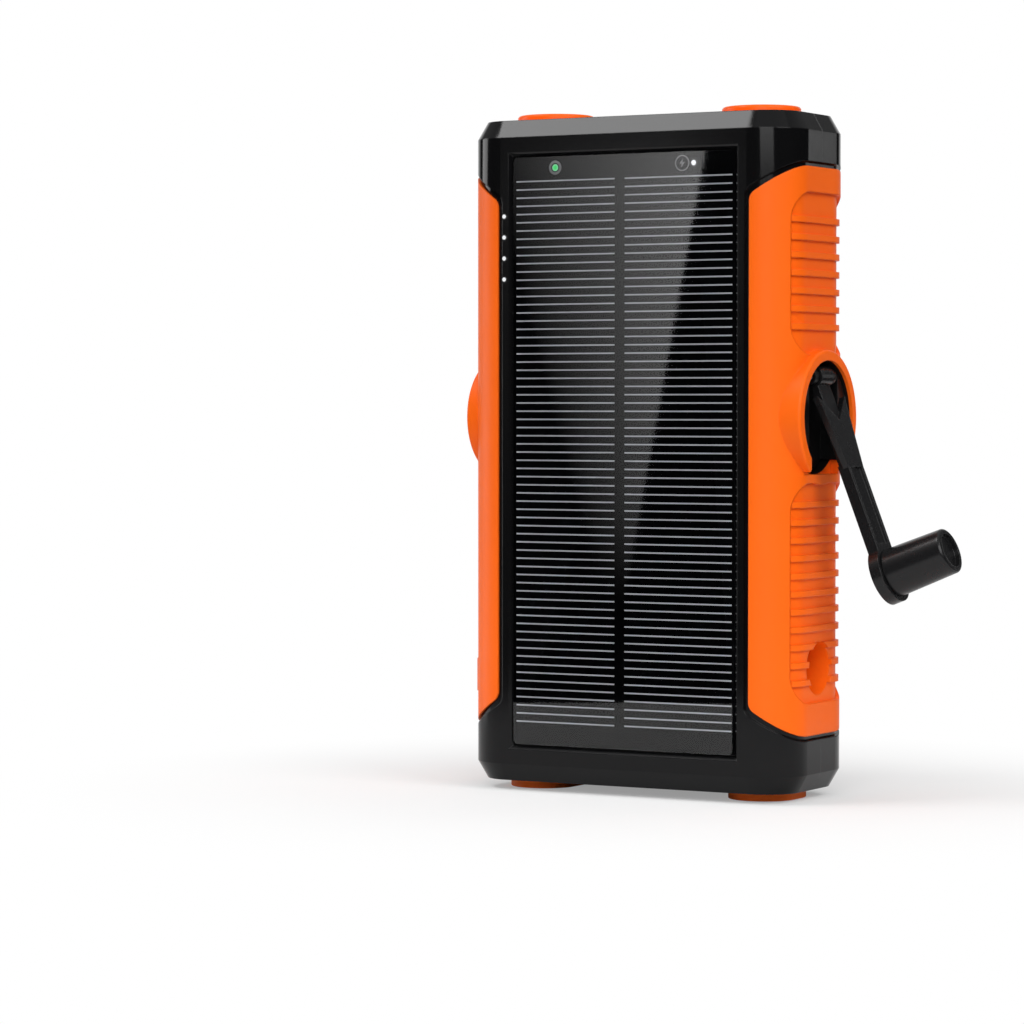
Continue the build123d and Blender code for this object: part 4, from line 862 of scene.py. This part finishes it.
def needle(name, up, colour):
    """One half of the needle, a slim raised arrow."""
    maker = bmesh.new()
    sign = 1 if up else -1
    outline = [(0.0, 4.4 * sign), (-0.9, 0.0), (0.9, 0.0)]
    low = [maker.verts.new(mm(CARD_FACE + 0.01, y, CRANK_AXIS + z)) for y, z in outline]
    high = [maker.verts.new(mm(CARD_FACE - 0.12, y * 0.5, CRANK_AXIS + z * 0.9))
            for y, z in outline]
    maker.faces.new(low)
    maker.faces.new(high)
    for k in range(3):
        n = (k + 1) % 3
        maker.faces.new((low[k], low[n], high[n], high[k]))
    return finish_mesh(name, maker, colour)


card_marks.append(needle("needle_north", True, dial_red))
card_marks.append(needle("needle_south", False, dial_white))
for mark in card_marks:
    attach(mark, "compass")
print(len(card_marks), "pieces on the compass card")

# %% [markdown]
# ## The charging pad
#
# The pad is a disc with turned rings. Its middle is a shallow polished dish whose lathe marks
# run in circles. Those marks spread each highlight into a bright fan, as on a record. They are
# a bump pattern of the distance from the pad's centre.

# %% Pad finish
DISH_RADIUS, LATHE_PITCH = 12.2, 0.22


def pad_finish():
    f = Finish("pad_black")
    x, _, z = f.axes()
    out = f.from_axis(x, z - PAD_AXIS * MM)
    disc = out < DISH_RADIUS * MM
    marks = (out * (2 * math.pi / (LATHE_PITCH * MM))).wave() * 0.5 + 0.5
    fine = f.noise(8.0, detail=2.0)
    height = marks * disc + fine * (1.0 - disc) * 0.4
    rough = f.between(0.30, 0.20, disc) + f.noise(0.1, detail=3.0) * 0.06
    colour = f.mix(disc, paint(24, 24, 25), paint(44, 44, 45))
    return f.surface(base_color=colour, roughness=rough, coat_weight=0.2,
                     normal=f.bump(height, 0.02, 0.6, f.soft_edges(0.15)))


pad_black = pad_finish()

# %% [markdown]
# ## Raised ribs on the port cover
#
# The flap over the sockets is soft rubber. Three short ribs beside its pull tab give a fingernail
# something to catch. Each is the rounded oblong of the straps, swept along one short line.

# %% Ribs that ride on the cover


def cover_rib(number, x, y, length, width):
    """A low rounded rib on the flap's top."""
    top = CASE_TOP + 0.4
    path = [Vector((x, y - length / 2, top)), Vector((x, y + length / 2, top))]
    return sweep(f"cover_rib_{number}", path, (1, 0, 0), oblong(width, 0.7, 0.3), cover_black)


for number, x in enumerate((-10.5, -8.5, -6.5)):
    rib = cover_rib(number + 1, x, 0.6, 7.0, 0.9)
    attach(rib, "cover")

# %% [markdown]
# ## Finishes for the engineering parts
#
# Every other part keeps its engineering shape and takes a finish. A table from part to finish
# says it in one place, and a check at the end makes sure that none was forgotten.

# %% Dress every part
finishes = {
    case_black: ["front_shell", "back_shell"],
    grip_orange: ["crank_grip", "compass_grip"],
    plate_orange: ["end_plate", "phone_lead_plug", "usb_lead_plug", "micro_lead_plug"],
    strap_orange: ["feet", "lead_roots", "phone_lead_strap", "usb_lead_strap",
                   "micro_lead_strap"],
    steel: ["case_screws", "small_screws", "crank_shaft", "hub_pin", "knob_rivet", "idler_pin",
            "generator_can", "rotor_shaft"],
    port_steel: ["usb_a_port", "usb_c_port"],
    tip_metal: ["phone_lead_tip", "micro_lead_tip"],
    gold: ["usb_lead_contacts"],
    brass: ["hub_bush", "rotor_pinion"],
    mirror_coat: ["lamp_reflectors"],
    coil_copper: ["charging_coil", "stator_coils"],
    board_green: ["main_board", "indicator_board", "lamp_boards", "switch_board"],
    cell_wrap: ["battery_upper", "batteries_lower"],
    nylon: ["crank_gear", "idler_gear"],
    magnet: ["rotor_magnet", "ferrite_sheet"],
    cover_glass: ["solar_glass"],
    compass_cover: ["compass_glass"],
    lens_clear: ["lamp_lenses"],
    lamp_white: ["lamp_diodes"],
    level_glow: ["level_lights"],
    status_glow: ["status_lights"],
    wafer: ["solar_cells"],
    arm_black: ["crank_arm", "crank_knob", "power_button"],
    hub_black: ["crank_hub", "compass_bowl"],
    cover_black: ["port_cover"],
    inner_black: ["gearbox_base", "gearbox_cover", "button_switch", "switch_plunger",
                  "compass_card"],
    pad_black: ["charging_pad"],
}
dressed = set()
for finish, names in finishes.items():
    for name in names:
        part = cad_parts[name]
        part.data.materials.clear()
        part.data.materials.append(finish)
        dressed.add(name)
print("dressed", len(dressed), "missing", sorted(set(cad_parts) - dressed))

# %% [markdown]
# ## The studio
#
# Black gloss shows little of its own colour, and mostly what stands round it. In the photograph
# the panel is nearly black, so the side of the room behind the camera is dark. A soft box low on
# the left shows in the glass as a grey sheen with a slanting edge. A second one, high on the
# left, draws the bright band along the upper bevel. Wide boxes on both sides light the orange
# grips, and the pale ceiling fills their shadows.
#
# The world does the room: its colour depends on the direction, dark near the horizon and pale
# overhead. Rays from the camera see plain white instead, and so do rays that pass through
# glass. Mirror rays see that white too, but only behind the charger, where the backdrop stands.

# %% The room and its white backdrop
world = bpy.data.worlds.new("studio")
world.use_nodes = True
world.node_tree.nodes.clear()
room = Finish("studio", world.node_tree)
away = room.node("ShaderNodeTexCoord", {}, {}, "Generated")
east, north, up = room.split(away)
ceiling = room.ramp(0.12, 0.75, up)
studio = room.between(0.004, 0.42, ceiling)
backdrop = room.ramp(0.72, 0.9, north * 0.87 - east * 0.5)
rays = room.node("ShaderNodeLightPath", {}, {}, "Is Camera Ray")
through = room.node("ShaderNodeLightPath", {}, {}, "Is Transmission Ray")
mirror = room.node("ShaderNodeLightPath", {}, {}, "Is Glossy Ray")
white_seen = rays.high(through).high(mirror * backdrop)
level = studio + (1.0 - studio) * white_seen
room.end(room.node("ShaderNodeBackground", {}, {"Color": (1, 1, 1, 1), "Strength": level}),
         "ShaderNodeOutputWorld")
bpy.context.scene.world = world

# %% [markdown]
# The floor is real white card near the charger, where it takes the soft shadow. Further out it
# turns into the same plain white as the world, so no horizon shows.

# %% Floor


def floor_finish():
    f = Finish("studio_white")
    x, y, _ = f.axes()
    out = f.from_axis(x, y)
    far = 0.3 + 0.7 * f.ramp(0.04, 0.17, out)
    seen = f.node("ShaderNodeLightPath", {}, {}, "Is Camera Ray")
    card = f.node("ShaderNodeBsdfDiffuse", {}, {
        "Color": f.mix(f.noise(0.02), paint(236, 236, 236), paint(240, 240, 240))})
    white = f.node("ShaderNodeEmission", {}, {"Color": (1, 1, 1, 1)})
    return f.end(f.node("ShaderNodeMixShader", {}, {0: far * seen, 1: card, 2: white}))


maker = bmesh.new()
bmesh.ops.create_circle(maker, cap_ends=True, segments=96, radius=0.30)
floor = finish_mesh("studio_floor", maker, floor_finish())

# %% [markdown]
# The lamps are large rectangles. Their power is given by how bright they look in a mirror, which
# is what the gloss shows, and the area turns it into watts. The low box on the left is partly
# covered by a black flag with a slanting edge, and it is dimmer towards its left and lower
# sides, as a softbox is away from its bulb.

# %% Lamps


def soft_box(name, place, aim, width, height, look):
    """A rectangular lamp that faces aim and looks this bright."""
    lamp = bpy.data.lights.new(name, "AREA")
    lamp.shape = "RECTANGLE"
    lamp.size, lamp.size_y = width, height
    lamp.energy = look * math.pi * width * height
    holder = bpy.data.objects.new(name, lamp)
    turn = (Vector(aim) - Vector(place)).to_track_quat("-Z", "Y").to_matrix().to_4x4()
    holder.matrix_world = Matrix.Translation(place) @ turn
    holder.visible_camera = False
    bpy.context.scene.collection.objects.link(holder)
    return holder


middle = (0.0, 0.0, 0.085)
soft_box("overhead", (0.05, 0.05, 1.25), middle, 1.3, 1.3, 0.25)
soft_box("high_left", (-0.587, -0.484, 1.157), middle, 0.46, 0.34, 10.0)
soft_box("right_side", (1.05, -0.35, 0.80), middle, 0.7, 0.7, 5.0)
soft_box("left_side", (-1.3, -0.15, 0.25), middle, 0.5, 0.8, 4.0)
soft_box("back_right", (0.60, 1.1, 0.15), middle, 0.10, 0.35, 1.3)
soft_box("front_right", (0.55, -1.1, 0.62), middle, 0.8, 0.8, 4.4)
low_left = soft_box("low_left", (-0.868, -1.6, 0.110), (-0.868, 0.0, 0.110), 0.1865, 0.35, 2.8)
low_left.data.use_nodes = True
shade = Finish("low_left", low_left.data.node_tree)
across, upward, _ = shade.split(shade.node("ShaderNodeNewGeometry", {}, {}, "Parametric"))
down = 1.0 - upward
inside = across < 0.994 - down * 0.38
level = inside * shade.ramp(0.0, 0.3, upward) * (across - down * 0.56).high(0.0)
shade.end(shade.node("ShaderNodeEmission", {}, {"Color": (1, 1, 1, 1), "Strength": level}),
          "ShaderNodeOutputLight")

# %% [markdown]
# ## The camera
#
# The camera stands to the right of the panel, a metre off and a little below the middle of the
# case, with a long lens, which keeps the case's edges almost parallel. Its place and lens were
# worked out from the known sizes of the case and where its corners lie in the photograph.

# %% Camera
eye = bpy.data.cameras.new("eye")
eye.lens = 128.357
eye.sensor_width = 36.0
eye.clip_start = 0.05
camera = bpy.data.objects.new("camera", eye)
camera.location = (0.422498, -0.808763, 0.097184)
camera.rotation_euler = (math.radians(88.2764), 0.0, math.radians(29.8568))
bpy.context.scene.collection.objects.link(camera)
bpy.context.scene.camera = camera
bpy.context.scene.view_settings.view_transform = "Standard"
print("lens", round(eye.lens, 1), "mm")
